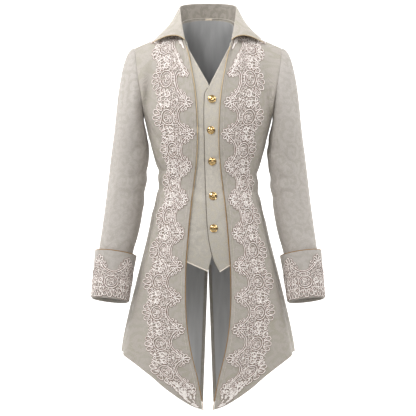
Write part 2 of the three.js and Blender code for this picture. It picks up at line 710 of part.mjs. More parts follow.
function laceEdges(z) {
  const fan = fanTip(z) - FAN_DEPTH * Math.abs(Math.sin(Math.PI * lacePhase(z))) ** 1.5;
  const spray = sprayTip(z) + SPRAY_DEPTH * Math.abs(Math.sin(Math.PI * sprayPhase(z)));
  const outer = z < -870 ? Math.min(fan, hemAt(z) - 4) : fan;
  const edge = frontEdge(z) + 4;
  const inner = THREE.MathUtils.clamp(spray, edge, Math.max(edge, outer - 12));
  return { inner, outer: Math.max(outer, inner + 8) };
}

const LACE_ROW_SHARES = [0, 0.14, 0.36, 0.5, 0.72];
const laceLevels = LACE.slice(0, -1).flatMap((row, i) => (
  LACE_ROW_SHARES.map((share) => mix(row.fanZ, LACE[i + 1].fanZ, share)))).concat([-1008]);
const laceShares = [0, 0.26, 0.5, 0.76, 1];

function laceBand(side) {
  const place = (level, share, off) => {
    const edges = laceEdges(level);
    const x = mix(edges.inner, edges.outer, share);
    const lift = off + COLLAR_LIFT * ease(level, -150, -78);
    return mirrored(frontSurface(x, level).addScaledVector(frontNormal(x, level), lift), side);
  };
  const outer = grid(laceLevels, laceShares, (z, share) => place(z, share, LACE_GAP + LACE_CLOTH));
  const inner = grid(laceLevels, laceShares, (z, share) => place(z, share, LACE_GAP));
  const last = laceLevels.length - 8;
  const keep = (i, j) => {
    const row = i % LACE_ROW_SHARES.length;
    if (i < 3 || i > last) return true;
    return !((row === 0 && j === 2) || (row === 2 && (j === 1 || j === 3)));
  };
  return wall(outer, inner, { keep });
}

for (const { name, side } of SIDES) add(`lace_front_${name}`, laceBand(side), 'lace');

// Piping on the front edges, beside the panel's own edge points
for (const { name, side } of SIDES) {
  const middle = panelRows.slice(1).map((v) => {
    const normal = panelNormal(-1, 0, v);
    const away = panelPoint(-1, 0, v).sub(panelPoint(-1, 0.05, v));
    away.addScaledVector(normal, -away.dot(normal)).normalize();
    return mirrored(panelPoint(-1, 0, v)
      .addScaledVector(normal, -COAT_CLOTH / 2)
      .addScaledVector(away, PIPING_GAP + PIPING_RADIUS), side);
  });
  add(`piping_front_${name}`, cord(middle), 'piping');
}

// The collar: a stand on the neckline, and a fall from the fold to the spread points
const collarAt = (name) => through(COLLAR.map((row, i) => ({ i, value: row[name] })), 'i', 'value');
const collarColumn = Object.fromEntries(Object.keys(COLLAR[0]).map((name) => [name, collarAt(name)]));
const collarRowPlace = (s) => napeRow * (1 - Math.abs(s));
const fold = (s) => {
  const row = collarRowPlace(s);
  return vector(Math.sign(s) * collarColumn.foldX(row), collarColumn.foldY(row), collarColumn.foldZ(row));
};
const neckRows = [...new Set([-1, 1].flatMap((face) => (
  panelColumns.filter((u) => u <= NECK_SHARE)
    .map((u) => mix(face < 0 ? 0 : napeRow, NECK_AT_SHOULDER, u / NECK_SHARE)))))].sort((a, b) => a - b);
// The seam of the neck runs straight between the points of the fronts and backs
function neckBase(s) {
  const row = collarRowPlace(s);
  const i = Math.max(1, neckRows.findIndex((place) => place >= row - 1e-9));
  const share = (row - neckRows[i - 1]) / (neckRows[i] - neckRows[i - 1]);
  return mirrored(neckline(neckRows[i - 1]).lerp(neckline(neckRows[i]), share), Math.sign(s) || 1);
}
const collarStations = [-1, -0.93, -0.86, -0.78, -0.7, -0.6, -0.5, -0.4, -0.3, -0.2, -0.1];
const collarColumns = [...collarStations, 0, ...[...collarStations].reverse().map((s) => -s)];

function standPoint(s, share, thick) {
  const base = neckBase(s);
  const top = fold(s);
  const rise = top.clone().sub(base);
  const length = rise.length();
  const reach = mix(SEAM * mix(2, 5, ease(Math.abs(s), 0.7, 1)), length, share);
  const along = fold(Math.min(1, s + 0.02)).sub(fold(Math.max(-1, s - 0.02)));
  const outwards = along.cross(rise).normalize();
  if (outwards.dot(vector(base.x, base.y - 10, 0)) < 0) outwards.negate();
  return base.addScaledVector(rise.normalize(), reach).addScaledVector(outwards, -thick);
}

const standShares = [0, 0.35, 0.7, 1];
add('collar_stand', wall(
  grid(standShares, collarColumns, (share, s) => standPoint(s, share, 0)),
  grid(standShares, collarColumns, (share, s) => standPoint(s, share, COLLAR_CLOTH)),
), 'jacquard');

// The underside of the fall, a bowed sheet from the fold to its outer edge
function fallPoint(s, share) {
  const row = collarRowPlace(s);
  const sign = Math.sign(s) || 1;
  const start = fold(s);
  const edge = vector(sign * collarColumn.edgeX(row), collarColumn.edgeY(row), collarColumn.edgeZ(row));
  const outwards = start.clone().setZ(0).normalize();
  start.addScaledVector(outwards, SEAM + 0.3);
  const bow = vector(sign * collarColumn.bowX(row), mix(start.y, edge.y, 0.42), mix(start.z, edge.z, 0.5));
  bow.z += 2 * collarColumn.bowLift(row);
  bow.y -= collarColumn.bowLift(row) * 0.6;
  return new THREE.QuadraticBezierCurve3(start, bow, edge).getPoint(share);
}

function fallNormal(s, share) {
  const inS = THREE.MathUtils.clamp(s, -0.99, 0.99);
  const inShare = THREE.MathUtils.clamp(share, 0.01, 0.99);
  const across = fallPoint(inS + 0.01, inShare).sub(fallPoint(inS - 0.01, inShare));
  const down = fallPoint(inS, inShare + 0.01).sub(fallPoint(inS, inShare - 0.01));
  const normal = across.cross(down).normalize();
  const outwards = vector(fallPoint(inS, inShare).x, fallPoint(inS, inShare).y, 60);
  return normal.dot(outwards) < 0 ? normal.negate() : normal;
}

const fallShares = [0, 0.12, 0.26, 0.42, 0.6, 0.8, 1];
add('collar_fall', wall(
  grid(fallShares, collarColumns, (share, s) => fallPoint(s, share).addScaledVector(fallNormal(s, share), COLLAR_CLOTH)),
  grid(fallShares, collarColumns, (share, s) => fallPoint(s, share)),
), 'jacquard');

// Piping on the front edges of the fall
for (const { name, side } of SIDES) {
  const ahead = (share) => fallPoint(side, share).sub(fallPoint(side * 0.98, share)).normalize();
  const middle = fallShares.map((share) => fallPoint(side, share)
    .addScaledVector(fallNormal(side, share), COLLAR_CLOTH / 2)
    .addScaledVector(ahead(share), 2 * SEAM + PIPING_RADIUS));
  add(`piping_collar_${name}`, cord(middle), 'piping');
}

// The lining of the back, inside the back panels, slit where the vent opens
function liningBack() {
  const half = [0.02, ...panelColumns.slice(1, -1), 0.955];
  const signed = [...[...half].reverse().map((u) => ({ u, side: -1 })), ...half.map((u) => ({ u, side: 1 }))];
  const rows = [-0.985, ...panelRows.slice(1, -1), 0.975];
  const place = (v, { u, side }, depth) => {
    const point = panelPoint(1, u, v).addScaledVector(panelNormal(1, u, v), -depth);
    return mirrored(point, side);
  };
  const near = COAT_CLOTH + LAYER_GAP + SEAM;
  const outer = grid(rows, signed, (v, column) => place(v, column, near));
  const inner = grid(rows, signed, (v, column) => place(v, column, near + LINING_CLOTH));
  const slit = half.length - 1;
  const keep = (i, j) => j !== slit || panelPoint(1, 0.02, rows[i + 1]).z > VENT_TOP;
  return wall(outer, inner, { keep });
}
add('lining_back', liningBack(), 'lining');

export default coat;
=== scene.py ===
# %% [markdown]
# # A lace-trimmed tailcoat
# The coat is sewn from a pale jacquard: two fronts, two backs with a slit in their seam, two-piece sleeves with
# turned-back cuffs, a folded collar and a pair of waistcoat fronts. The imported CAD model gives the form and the
# place of every piece, and this script dresses it with real cloth, lace, piping, buttons and thread.
# All shaping is done in millimetres, as a tailor measures, and turned to metres when a mesh is made.

# %% Load the frame
import math
import bpy
import numpy as np
from mathutils import Matrix, Vector


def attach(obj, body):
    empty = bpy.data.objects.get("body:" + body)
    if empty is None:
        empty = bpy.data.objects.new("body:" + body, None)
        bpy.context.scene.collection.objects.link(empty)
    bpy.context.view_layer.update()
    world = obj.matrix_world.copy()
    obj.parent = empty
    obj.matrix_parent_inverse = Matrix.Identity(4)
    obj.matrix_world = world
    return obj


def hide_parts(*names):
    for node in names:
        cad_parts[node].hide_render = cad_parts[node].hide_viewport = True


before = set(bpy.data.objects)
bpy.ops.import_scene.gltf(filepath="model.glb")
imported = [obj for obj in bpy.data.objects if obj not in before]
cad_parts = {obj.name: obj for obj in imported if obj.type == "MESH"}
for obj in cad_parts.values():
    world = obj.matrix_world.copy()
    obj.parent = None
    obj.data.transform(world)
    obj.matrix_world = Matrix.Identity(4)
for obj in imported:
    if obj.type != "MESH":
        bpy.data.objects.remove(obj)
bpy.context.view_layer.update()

MM = 0.001

# %% [markdown]
# A coat is drawn with smooth curves through a few measured points, in the same way as a tailor's flexible curve
# passes through chalk marks. `through` is such a curve: it takes a small table and reads anywhere between its rows.

# %% Curves through measured points
def hermite(start, leave, end, arrive, t):
    return (start * (2 * t**3 - 3 * t**2 + 1) + leave * (t**3 - 2 * t**2 + t)
            + end * (3 * t**2 - 2 * t**3) + arrive * (t**3 - t**2))


def through(rows):
    """A smooth curve through rows of (place, value), straight on past both ends."""
    at, value = np.array(sorted(rows), float).T
    slope = np.gradient(value, at)
    slope[1:-1] = (value[2:] - value[:-2]) / (at[2:] - at[:-2])

    def curve(x):
        x = np.asarray(x, float)
        i = np.clip(np.searchsorted(at, x, side="right") - 1, 0, len(at) - 2)
        span = at[i + 1] - at[i]
        inside = hermite(value[i], slope[i] * span, value[i + 1], slope[i + 1] * span, (x - at[i]) / span)
        low, high = value[0] + slope[0] * (x - at[0]), value[-1] + slope[-1] * (x - at[-1])
        return np.where(x < at[0], low, np.where(x > at[-1], high, inside))
    return curve


def ease(x, low, high):
    t = np.clip((np.asarray(x, float) - low) / (high - low), 0, 1)
    return t * t * (3 - 2 * t)


def mix(a, b, t):
    return a + (b - a) * t


def points(x, y, z):
    return np.stack(np.broadcast_arrays(*(np.asarray(v, float) for v in (x, y, z))), -1)


def unit(v):
    return v / np.maximum(np.linalg.norm(v, axis=-1, keepdims=True), 1e-9)


# %% [markdown]
# The torso of the coat is a tube with a flattened section, narrow at the waist and wide at the hem. Its tables are
# those of the CAD model, so the cloth lies exactly on the solids: level, half width, depth in front, depth behind.

# %% The coat's measurements
SEAM = 0.3
COAT_CLOTH, SLEEVE_CLOTH, COLLAR_CLOTH, VEST_CLOTH, LINING_CLOTH = 2.0, 2.0, 1.6, 1.6, 1.0
LAYER_GAP = 1.2
CHEST = -235
POWER = 2.3
TORSO = [(-235, 174, 118, 117), (-270, 165.5, 118, 113), (-311, 155.5, 116, 107), (-345, 146, 112, 102),
         (-382, 136, 108, 97), (-406, 133.7, 106, 95), (-434, 137.7, 106, 97), (-481, 147.7, 111, 104),
         (-550, 161.5, 119, 114), (-617, 177.4, 126, 123), (-697, 197, 134, 132), (-760, 213, 141, 139),
         (-831, 228.7, 148, 147), (-872, 234.6, 153, 151), (-1030, 254, 168, 166)]
FRONT_EDGE = [(-32, 64), (-66, 54.5), (-110, 46.5), (-157, 38.6), (-220, 32.9), (-295, 30.8), (-367, 34.8),
              (-446, 44.6), (-499, 50.5), (-566, 56.4), (-631, 61.3), (-681, 62.6), (-736, 62.4), (-803, 57.8),
              (-871, 46.4), (-934, 30.8), (-1002, 17.5), (-1030, 15)]
HEM = [(0, -1020), (16, -1018), (54.5, -1003), (114, -964), (153.6, -931), (193, -903), (235, -870)]
NECKLINE = np.array([(64, -62, -32), (74, -28, -10), (77, 8, 8), (71, 42, 26), (43, 70, 35), (0, 80, 38)], float)
SHOULDER_TIP = np.array([199, 6, -46], float)
NAPE, AT_SHOULDER, NECK_SHARE = 5, 2, 0.36
VENT_TOP, VENT_BOTTOM, VENT_HALF = -640, -1020, 14

torso_half = through([(r[0], r[1]) for r in TORSO])
torso_front = through([(r[0], r[2]) for r in TORSO])
torso_back = through([(r[0], r[3]) for r in TORSO])
front_edge = through(FRONT_EDGE)
hem_level = through(HEM)
hem_at = through([(z, x) for x, z in HEM])


def vent_half(z):
    return SEAM / 2 + VENT_HALF * np.clip((VENT_TOP - z) / (VENT_TOP - VENT_BOTTOM), 0, 1)


def torso_point(face, turn, z):
    """face is -1 in front and 1 behind; turn runs from the middle of the body to its side."""
    depth = torso_front(z) if face < 0 else torso_back(z)
    x = torso_half(z) * np.sin(turn) ** (2 / POWER)
    return points(x, face * depth * np.maximum(0, np.cos(turn)) ** (2 / POWER), z)


def torso_turn(x, z):
    return np.arcsin(np.minimum(1, np.abs(x) / torso_half(z)) ** (POWER / 2))


# %% [markdown]
# The neckline is one curve from the front end of the collar round to the nape. The cloth above the chest leaves the
# torso straight up, bends over the shoulder and arrives at the neckline or the shoulder seam.

# %% Neckline and the cloth above and below the chest
NECK_POINTS = np.concatenate([NECKLINE * (-1, 1, 1), NECKLINE[::-1][1:]])


def neckline(row):
    """Row 0 is the front end of the neckline and NAPE is the nape."""
    place = 2 * NAPE - np.asarray(row, float)
    i = np.clip(np.floor(place).astype(int), 0, 2 * NAPE - 1)
    t = (place - i)[..., None]
    padded = np.concatenate([[2 * NECK_POINTS[0] - NECK_POINTS[1]], NECK_POINTS,
                             [2 * NECK_POINTS[-1] - NECK_POINTS[-2]]])
    a, b, c, d = padded[i], padded[i + 1], padded[i + 2], padded[i + 3]
    ab, bc, cd = (np.linalg.norm(q - p, axis=-1, keepdims=True) ** 0.5 for p, q in ((a, b), (b, c), (c, d)))
    leave = ((b - a) / ab - (c - a) / (ab + bc) + (c - b) / bc) * bc
    arrive = ((c - b) / bc - (d - b) / (bc + cd) + (d - c) / cd) * bc
    return hermite(b, leave, c, arrive, t)


SHOULDER_NECK = neckline(AT_SHOULDER)
SHOULDER_UP = unit(np.array([SHOULDER_NECK[2] - SHOULDER_TIP[2], 0, SHOULDER_TIP[0] - SHOULDER_NECK[0]]))


def top_edge(face, u):
    inner = 0 if face < 0 else NAPE
    neck = neckline(mix(inner, AT_SHOULDER, np.clip(u, 0, NECK_SHARE) / NECK_SHARE))
    along = np.clip((u - NECK_SHARE) / (1 - NECK_SHARE), 0, None)[..., None]
    return np.where(u[..., None] <= NECK_SHARE, neck, mix(SHOULDER_NECK, SHOULDER_TIP, along))


def upper_point(face, u, t):
    """u runs from the inner edge to the armhole, t from the chest to the top."""
    u, t = np.broadcast_arrays(np.asarray(u, float), np.asarray(t, float))
    inner = torso_turn(front_edge(CHEST), CHEST) if face < 0 else 0.0
    chest = torso_point(face, mix(inner, math.pi / 2, u), np.full(u.shape, CHEST, float))
    top = top_edge(face, u)
    arm = (ease(u, 0.55, 1) ** 2)[..., None]
    seam = ease(u, 0.06, NECK_SHARE)[..., None]
    pit = np.array([10, face * (290 if face < 0 else 340), 110], float)
    up = mix(points(0 * u, 12 if face < 0 else 22, top[..., 2] - CHEST), pit, arm)
    neck_end = np.array([32, 100, 170] if face < 0 else [0, -46, 230], float)
    over = mix(mix(neck_end, np.array([0, -face * 190, 46.0]), seam), np.array([0, -face * 120, 118.0]), arm)
    point = hermite(chest, up, top, over, t[..., None])
    if face < 0:
        edge = hermite(torso_point(-1, inner, float(CHEST)), np.array([0, 12, neckline(0)[2] - CHEST]),
                       neckline(0), neck_end, t[..., None])
        point[..., 0] += (front_edge(edge[..., 2]) - edge[..., 0]) * (1 - u) ** 2
    return point


def lower_point(face, u, r):
    """u runs from the inner edge to the side seam, r from the chest to the hem."""
    u, r = np.broadcast_arrays(np.asarray(u, float), np.asarray(r, float))

    def turn_at(z):
        return mix(torso_turn(front_edge(z) if face < 0 else vent_half(z), z), math.pi / 2, u)
    hem = mix(HEM[1][1], HEM[-1][1], u)
    for _ in range(6):
        hem = hem_level(torso_point(face, turn_at(hem), hem)[..., 0])
    z = mix(CHEST, hem, r)
    return torso_point(face, turn_at(z), z)


def panel_point(face, u, v):
    """One side of the coat's front or back: v runs from -1 at the top over 0 at the chest to 1 at the hem."""
    u, v = np.broadcast_arrays(np.asarray(u, float), np.asarray(v, float))
    above = upper_point(face, u, np.clip(-v, 0, 1.1))
    below = lower_point(face, u, np.clip(v, 0, 1.1))
    point = np.where((v < 0)[..., None], above, below)
    if face > 0:
        point[..., 0] = np.where(v < 0, np.maximum(point[..., 0], SEAM / 2), point[..., 0])
    return point


def normal_of(surface, u, v, step=0.004):
    across = surface(u + step, v) - surface(u - step, v)
    down = surface(u, v + step) - surface(u, v - step)
    return unit(np.cross(across, down))


def panel_normal(face, u, v):
    u, v = np.broadcast_arrays(np.asarray(u, float), np.asarray(v, float))
    normal = face * normal_of(lambda a, b: panel_point(face, a, b), np.clip(u, 0.01, 0.985), np.clip(v, -0.99, 0.99))
    side = (ease(u, 0.9, 1) * (v >= 0))[..., None]
    normal = unit(mix(normal, np.array([1.0, 0, 0]), side))
    seam = (ease(-v, 0.72, 1) * ease(u, 0.2, NECK_SHARE))[..., None]
    return unit(mix(normal, SHOULDER_UP, seam))


# %% [markdown]
# Cloth that hangs is never smooth. The main creases are listed as soft troughs and ridges, each a short line
# with a width and a depth, on a plan of the coat that is unrolled round the body: degrees from the front middle
# (positive towards the wearer's left) and the level. Every layer reads the same plan, so all layers move together.

# %% Creases of the body
TORSO_RADIUS = 150
BODY_FOLDS = [
    # depth, width, [(degrees, level), ...]: waist, drawn in at the sides
    (-3.4, 10, [(-104, -372), (-78, -384), (-52, -378)]), (2.2, 9, [(-100, -394), (-76, -404), (-56, -399)]),
    (-2.8, 9, [(-98, -424), (-74, -430), (-50, -422)]), (-3.0, 10, [(106, -380), (80, -392), (54, -388)]),
    (2.4, 9, [(100, -408), (78, -416), (56, -408)]), (-3.0, 9, [(97, -440), (72, -441), (54, -430)]),
    # drag lines from the armpits
    (-3.2, 11, [(-84, -232), (-66, -264), (-50, -312)]), (2.0, 9, [(-92, -262), (-76, -300), (-66, -340)]),
    (-2.8, 11, [(86, -236), (70, -262), (58, -300)]), (-2.2, 9, [(96, -275), (84, -318), (74, -352)]),
    # the skirt's flutes in front
    (4.0, 20, [(-60, -500), (-64, -700), (-67, -925)]), (-4.6, 19, [(-74, -480), (-80, -690), (-83, -900)]),
    (-3.0, 17, [(-47, -560), (-48, -760), (-50, -960)]), (3.6, 20, [(58, -510), (61, -690), (66, -930)]),
    (-4.4, 18, [(71, -470), (77, -700), (80, -900)]), (-2.6, 16, [(45, -600), (44, -780), (47, -950)]),
    (3.4, 18, [(-96, -500), (-99, -900)]), (3.2, 18, [(95, -520), (98, -900)]),
    # the back: flutes, a fold over the waist and drag lines between the shoulders
    (-5.0, 20, [(118, -450), (114, -700), (113, -930)]), (4.4, 20, [(133, -470), (130, -960)]),
    (-4.2, 18, [(149, -520), (148, -980)]), (3.4, 15, [(164, -560), (165, -1000)]),
    (-4.8, 19, [(-120, -440), (-117, -690), (-114, -930)]), (4.2, 20, [(-136, -480), (-132, -960)]),
    (-3.8, 18, [(-152, -500), (-150, -980)]), (3.2, 15, [(-167, -590), (-166, -1000)]),
    (-3.0, 10, [(150, -384), (172, -392), (191, -386), (207, -378)]),
    (2.2, 9, [(158, -410), (182, -414), (202, -404)]),
    (-2.6, 10, [(122, -404), (140, -416), (158, -412)]), (-2.4, 10, [(-122, -410), (-142, -420), (-160, -414)]),
    (-2.8, 12, [(108, -230), (128, -250), (150, -300)]), (-2.6, 12, [(-110, -236), (-130, -262), (-146, -312)]),
    (-2.0, 14, [(138, -130), (156, -170), (170, -230)]), (-1.8, 14, [(-140, -140), (-158, -190), (-170, -250)]),
    # the waistcoat, drawn by its buttons
    (-1.7, 6, [(-14, -258), (-6, -268), (2, -273)]), (1.3, 5, [(-13, -278), (-5, -284), (3, -283)]),
    (-1.9, 6, [(15, -340), (8, -352), (2, -358)]), (-1.8, 6, [(-15, -376), (-7, -366), (0, -360)]),
    (-2.0, 7, [(-17, -424), (-8, -440), (1, -448)]), (1.4, 6, [(-18, -452), (-8, -462), (0, -464)]),
    (-1.7, 6, [(18, -432), (12, -442), (6, -449)]), (-1.7, 7, [(-17, -548), (-8, -540), (1, -536)]),
    (-1.4, 7, [(17, -506), (10, -524), (6, -534)]), (-1.6, 8, [(-15, -600), (-10, -580), (-4, -560)]),
]


def carve(across, level, folds, per_degree):
    """The sum of all creases at each point of the unrolled plan, in millimetres."""
    total = np.zeros(np.shape(across))
    for depth, width, line in folds:
        line = np.array(line, float) * (per_degree, 1)
        nearest = np.full(np.shape(across), 1e9)
        for a, b in zip(line[:-1], line[1:]):
            d = b - a
            t = np.clip(((across - a[0]) * d[0] + (level - a[1]) * d[1]) / (d @ d), 0, 1)
            nearest = np.minimum(nearest, np.hypot(across - a[0] - t * d[0], level - a[1] - t * d[1]))
        total += depth * np.exp(-(nearest / width) ** 2)
    return total


def drape(point):
    """How far the cloth of the body stands out of its plain form at these points."""
    x, y, z = point[..., 0], point[..., 1], point[..., 2]
    level = np.minimum(z, CHEST)
    depth = np.where(y < 0, torso_front(level), torso_back(level))
    angle = np.degrees(np.arctan2(x / torso_half(level), -y / depth))
    per_degree = math.radians(1) * TORSO_RADIUS
    total = carve(angle * per_degree, z, BODY_FOLDS, per_degree)
    total += carve((angle + np.where(angle < 0, 360, -360)) * per_degree, z, BODY_FOLDS, per_degree)
    wave = 0.5 * np.sin(angle / 17 + z / 71) + 0.45 * np.sin(z / 43 - angle / 29 + 1.3)
    near_arm = ease(z, -310, -238) * ease(np.abs(x), 138, 168)
    near_neck = ease(z, -70, -20)
    return (total + wave) * (1 - near_arm) * (1 - near_neck)


print("body creases", len(BODY_FOLDS))

# %% [markdown]
# A piece of cloth is a grid of points for its right side and one for its wrong side, closed by narrow rims, so it
# has a real thickness and no open edge. Its UV map holds the distance along the cloth in metres, for patterns that
# have to follow it.

# %% Meshes of cloth
SCENE = bpy.context.scene.collection


def deselect():
    bpy.ops.object.select_all(action="DESELECT")


def mirrored(p, side):
    return p * np.array([side, 1, 1], float)


def new_mesh(name, vertices, faces, slots=None, uv=None):
    mesh = bpy.data.meshes.new(name)
    mesh.from_pydata((np.asarray(vertices) * MM).tolist(), [], faces)
    if slots is not None:
        mesh.polygons.foreach_set("material_index", np.asarray(slots, np.int32))
    if uv is not None:
        corners = np.empty(len(mesh.loops), np.int32)
        mesh.loops.foreach_get("vertex_index", corners)
        mesh.uv_layers.new(name="along").data.foreach_set("uv", np.asarray(uv, np.float32)[corners].ravel())
    mesh.update()
    piece = bpy.data.objects.new(name, mesh)
    SCENE.objects.link(piece)
    return piece


def smooth(piece, degrees=48):
    deselect()
    piece.select_set(True)
    bpy.context.view_layer.objects.active = piece
    bpy.ops.object.shade_smooth_by_angle(angle=math.radians(degrees))
    piece.select_set(False)


def cloth(name, outer, inner, looks, ring=False, keep=None, inner_slot=0):
    """A closed wall between two grids of points, rows down and columns across."""
    rows, columns = outer.shape[:2]
    cells = columns if ring else columns - 1
    has = np.ones((rows - 1, cells), bool) if keep is None else keep
    index = np.arange(2 * rows * columns).reshape(2, rows, columns)
    faces, slots = [], []
    flat = np.concatenate([outer.reshape(-1, 3), inner.reshape(-1, 3)])
    for i in range(rows - 1):
        for j in range(cells):
            if not has[i, j]:
                continue
            n = (j + 1) % columns
            a, b, c, d = (int(index[0, p, q]) for p, q in ((i, j), (i + 1, j), (i + 1, n), (i, n)))
            e, f, g, h = (int(index[1, p, q]) for p, q in ((i, j), (i + 1, j), (i + 1, n), (i, n)))
            faces += [(a, b, c, d), (h, g, f, e)]
            slots += [0, inner_slot]
            before = has[i, (j - 1) % cells] if ring else j > 0 and has[i, j - 1]
            after = has[i, (j + 1) % cells] if ring else j < cells - 1 and has[i, j + 1]
            rims = [(i == 0 or not has[i - 1, j], (a, d, h, e)), (i == rows - 2 or not has[i + 1, j], (c, b, f, g)),
                    (not before, (b, a, e, f)), (not after, (d, c, g, h))]
            for open_edge, rim in rims:
                if open_edge:
                    faces.append(rim)
                    slots.append(0)
    along = np.cumsum(np.linalg.norm(np.diff(outer, axis=1, prepend=outer[:, :1]), axis=-1).mean(0))
    down = np.cumsum(np.linalg.norm(np.diff(outer, axis=0, prepend=outer[:1]), axis=-1).mean(1))
    uv = np.tile(np.stack(np.meshgrid(along, down), -1).reshape(-1, 2), (2, 1)) * MM
    volume = sum(float(flat[f[0]] @ np.cross(flat[f[1]], flat[f[2]]) + flat[f[0]] @ np.cross(flat[f[2]], flat[f[3]]))
                 for f in faces)
    if volume < 0:
        faces = [f[::-1] for f in faces]
    piece = new_mesh(name, flat, faces, slots, uv)
    for look in looks:
        piece.data.materials.append(look)
    loose_free(piece)
    smooth(piece)
    return piece


def loose_free(piece):
    """Removes points that no face uses, such as those of cells that hold no cloth."""
    used = {v for p in piece.data.polygons for v in p.vertices}
    if len(used) == len(piece.data.vertices):
        return
    deselect()
    piece.select_set(True)
    bpy.context.view_layer.objects.active = piece
    bpy.ops.object.mode_set(mode="EDIT")
    bpy.ops.mesh.select_all(action="SELECT")
    bpy.ops.mesh.delete_loose()
    bpy.ops.object.mode_set(mode="OBJECT")
    piece.select_set(False)


def area_of(piece):
    return sum(p.area for p in piece.data.polygons) / 2


def dress(piece, slot, *nodes):
    """The piece rides on the coat and stands for these CAD nodes; slot is not used."""
    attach(piece, "root")
    if nodes:
        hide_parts(*nodes)
    print(piece.name, "faces", len(piece.data.polygons), "area m2", round(area_of(piece), 4))
    return piece


# %% [markdown]
# Every finish is built from nodes. Two helpers do all of it: one turns the sRGB value of a colour chip into the
# linear colour that a shader needs, and one adds a node with its settings and links.

# %% Material helpers
def srgb(chip):
    parts = [int(chip[i:i + 2], 16) / 255 for i in (1, 3, 5)]
    return [p / 12.92 if p <= 0.04045 else ((p + 0.055) / 1.055) ** 2.4 for p in parts] + [1.0]


def material(name):
    look = bpy.data.materials.new(name)
    look.use_nodes = True
    tree = look.node_tree
    tree.nodes.clear()
    shader = tree.nodes.new("ShaderNodeBsdfPrincipled")
    output = tree.nodes.new("ShaderNodeOutputMaterial")
    tree.links.new(shader.outputs[0], output.inputs["Surface"])
    return look, tree, shader


def node(tree, kind, inputs=None, **settings):
    """Adds a node; inputs are given by name or number, as a value or as a socket to link."""
    made = tree.nodes.new(kind)
    for key, value in settings.items():
        setattr(made, key, value)
    for key, value in (inputs or {}).items():
        if isinstance(value, bpy.types.NodeSocket):
            tree.links.new(value, made.inputs[key])
        else:
            made.inputs[key].default_value = value
    return made


def shades(tree, factor, *stops):
    """A colour ramp from (position, colour chip) stops."""
    ramp = node(tree, "ShaderNodeValToRGB", {0: factor})
    elements = ramp.color_ramp.elements
    while len(elements) < len(stops):
        elements.new(0.5)
    for element, (position, chip) in zip(elements, stops):
        element.position = position
        element.color = srgb(chip)
    return ramp.outputs["Color"]


def bump(tree, shader, height, strength, distance_mm):
    relief = node(tree, "ShaderNodeBump", {"Strength": strength, "Distance": distance_mm * MM, "Height": height})
    tree.links.new(relief.outputs[0], shader.inputs["Normal"])


def calc(tree, operation, *inputs):
    return node(tree, "ShaderNodeMath", dict(enumerate(inputs)), operation=operation).outputs[0]


def remap(tree, value, low, high, to_low=0.0, to_high=1.0):
    return node(tree, "ShaderNodeMapRange", {"Value": value, "From Min": low, "From Max": high, "To Min": to_low,
                                             "To Max": to_high}).outputs[0]


def scaled(tree, colour, factor):
    return node(tree, "ShaderNodeVectorMath", {0: colour, "Scale": factor}, operation="SCALE").outputs[0]


def noise(tree, place, scale, detail=2.0, **more):
    return node(tree, "ShaderNodeTexNoise", {"Vector": place, "Scale": scale, "Detail": detail}, **more).outputs[0]


def object_place(tree):
    return node(tree, "ShaderNodeTexCoord").outputs["Object"]


def level_of(tree, place):
    return node(tree, "ShaderNodeSeparateXYZ", {0: place}).outputs["Z"]


# %% [markdown]
# Jacquard is woven so that its figure is satin on a dull ground, all in nearly one colour. Here the figure is a field
# of scrolls: each cell of a cell pattern turns into a spiral, by its own distance and angle. The plan is unrolled
# round the body or the arm, so the scrolls keep their size on the sides and the back too. Threads cross about
# 1.2 mm apart, coarser than real, because finer ones wouldn't show.

# %% Jacquard cloth
SCROLL_SIZE, THREAD_GAP = 0.038, 0.0012
WAVE_TO_METRES = 3.1


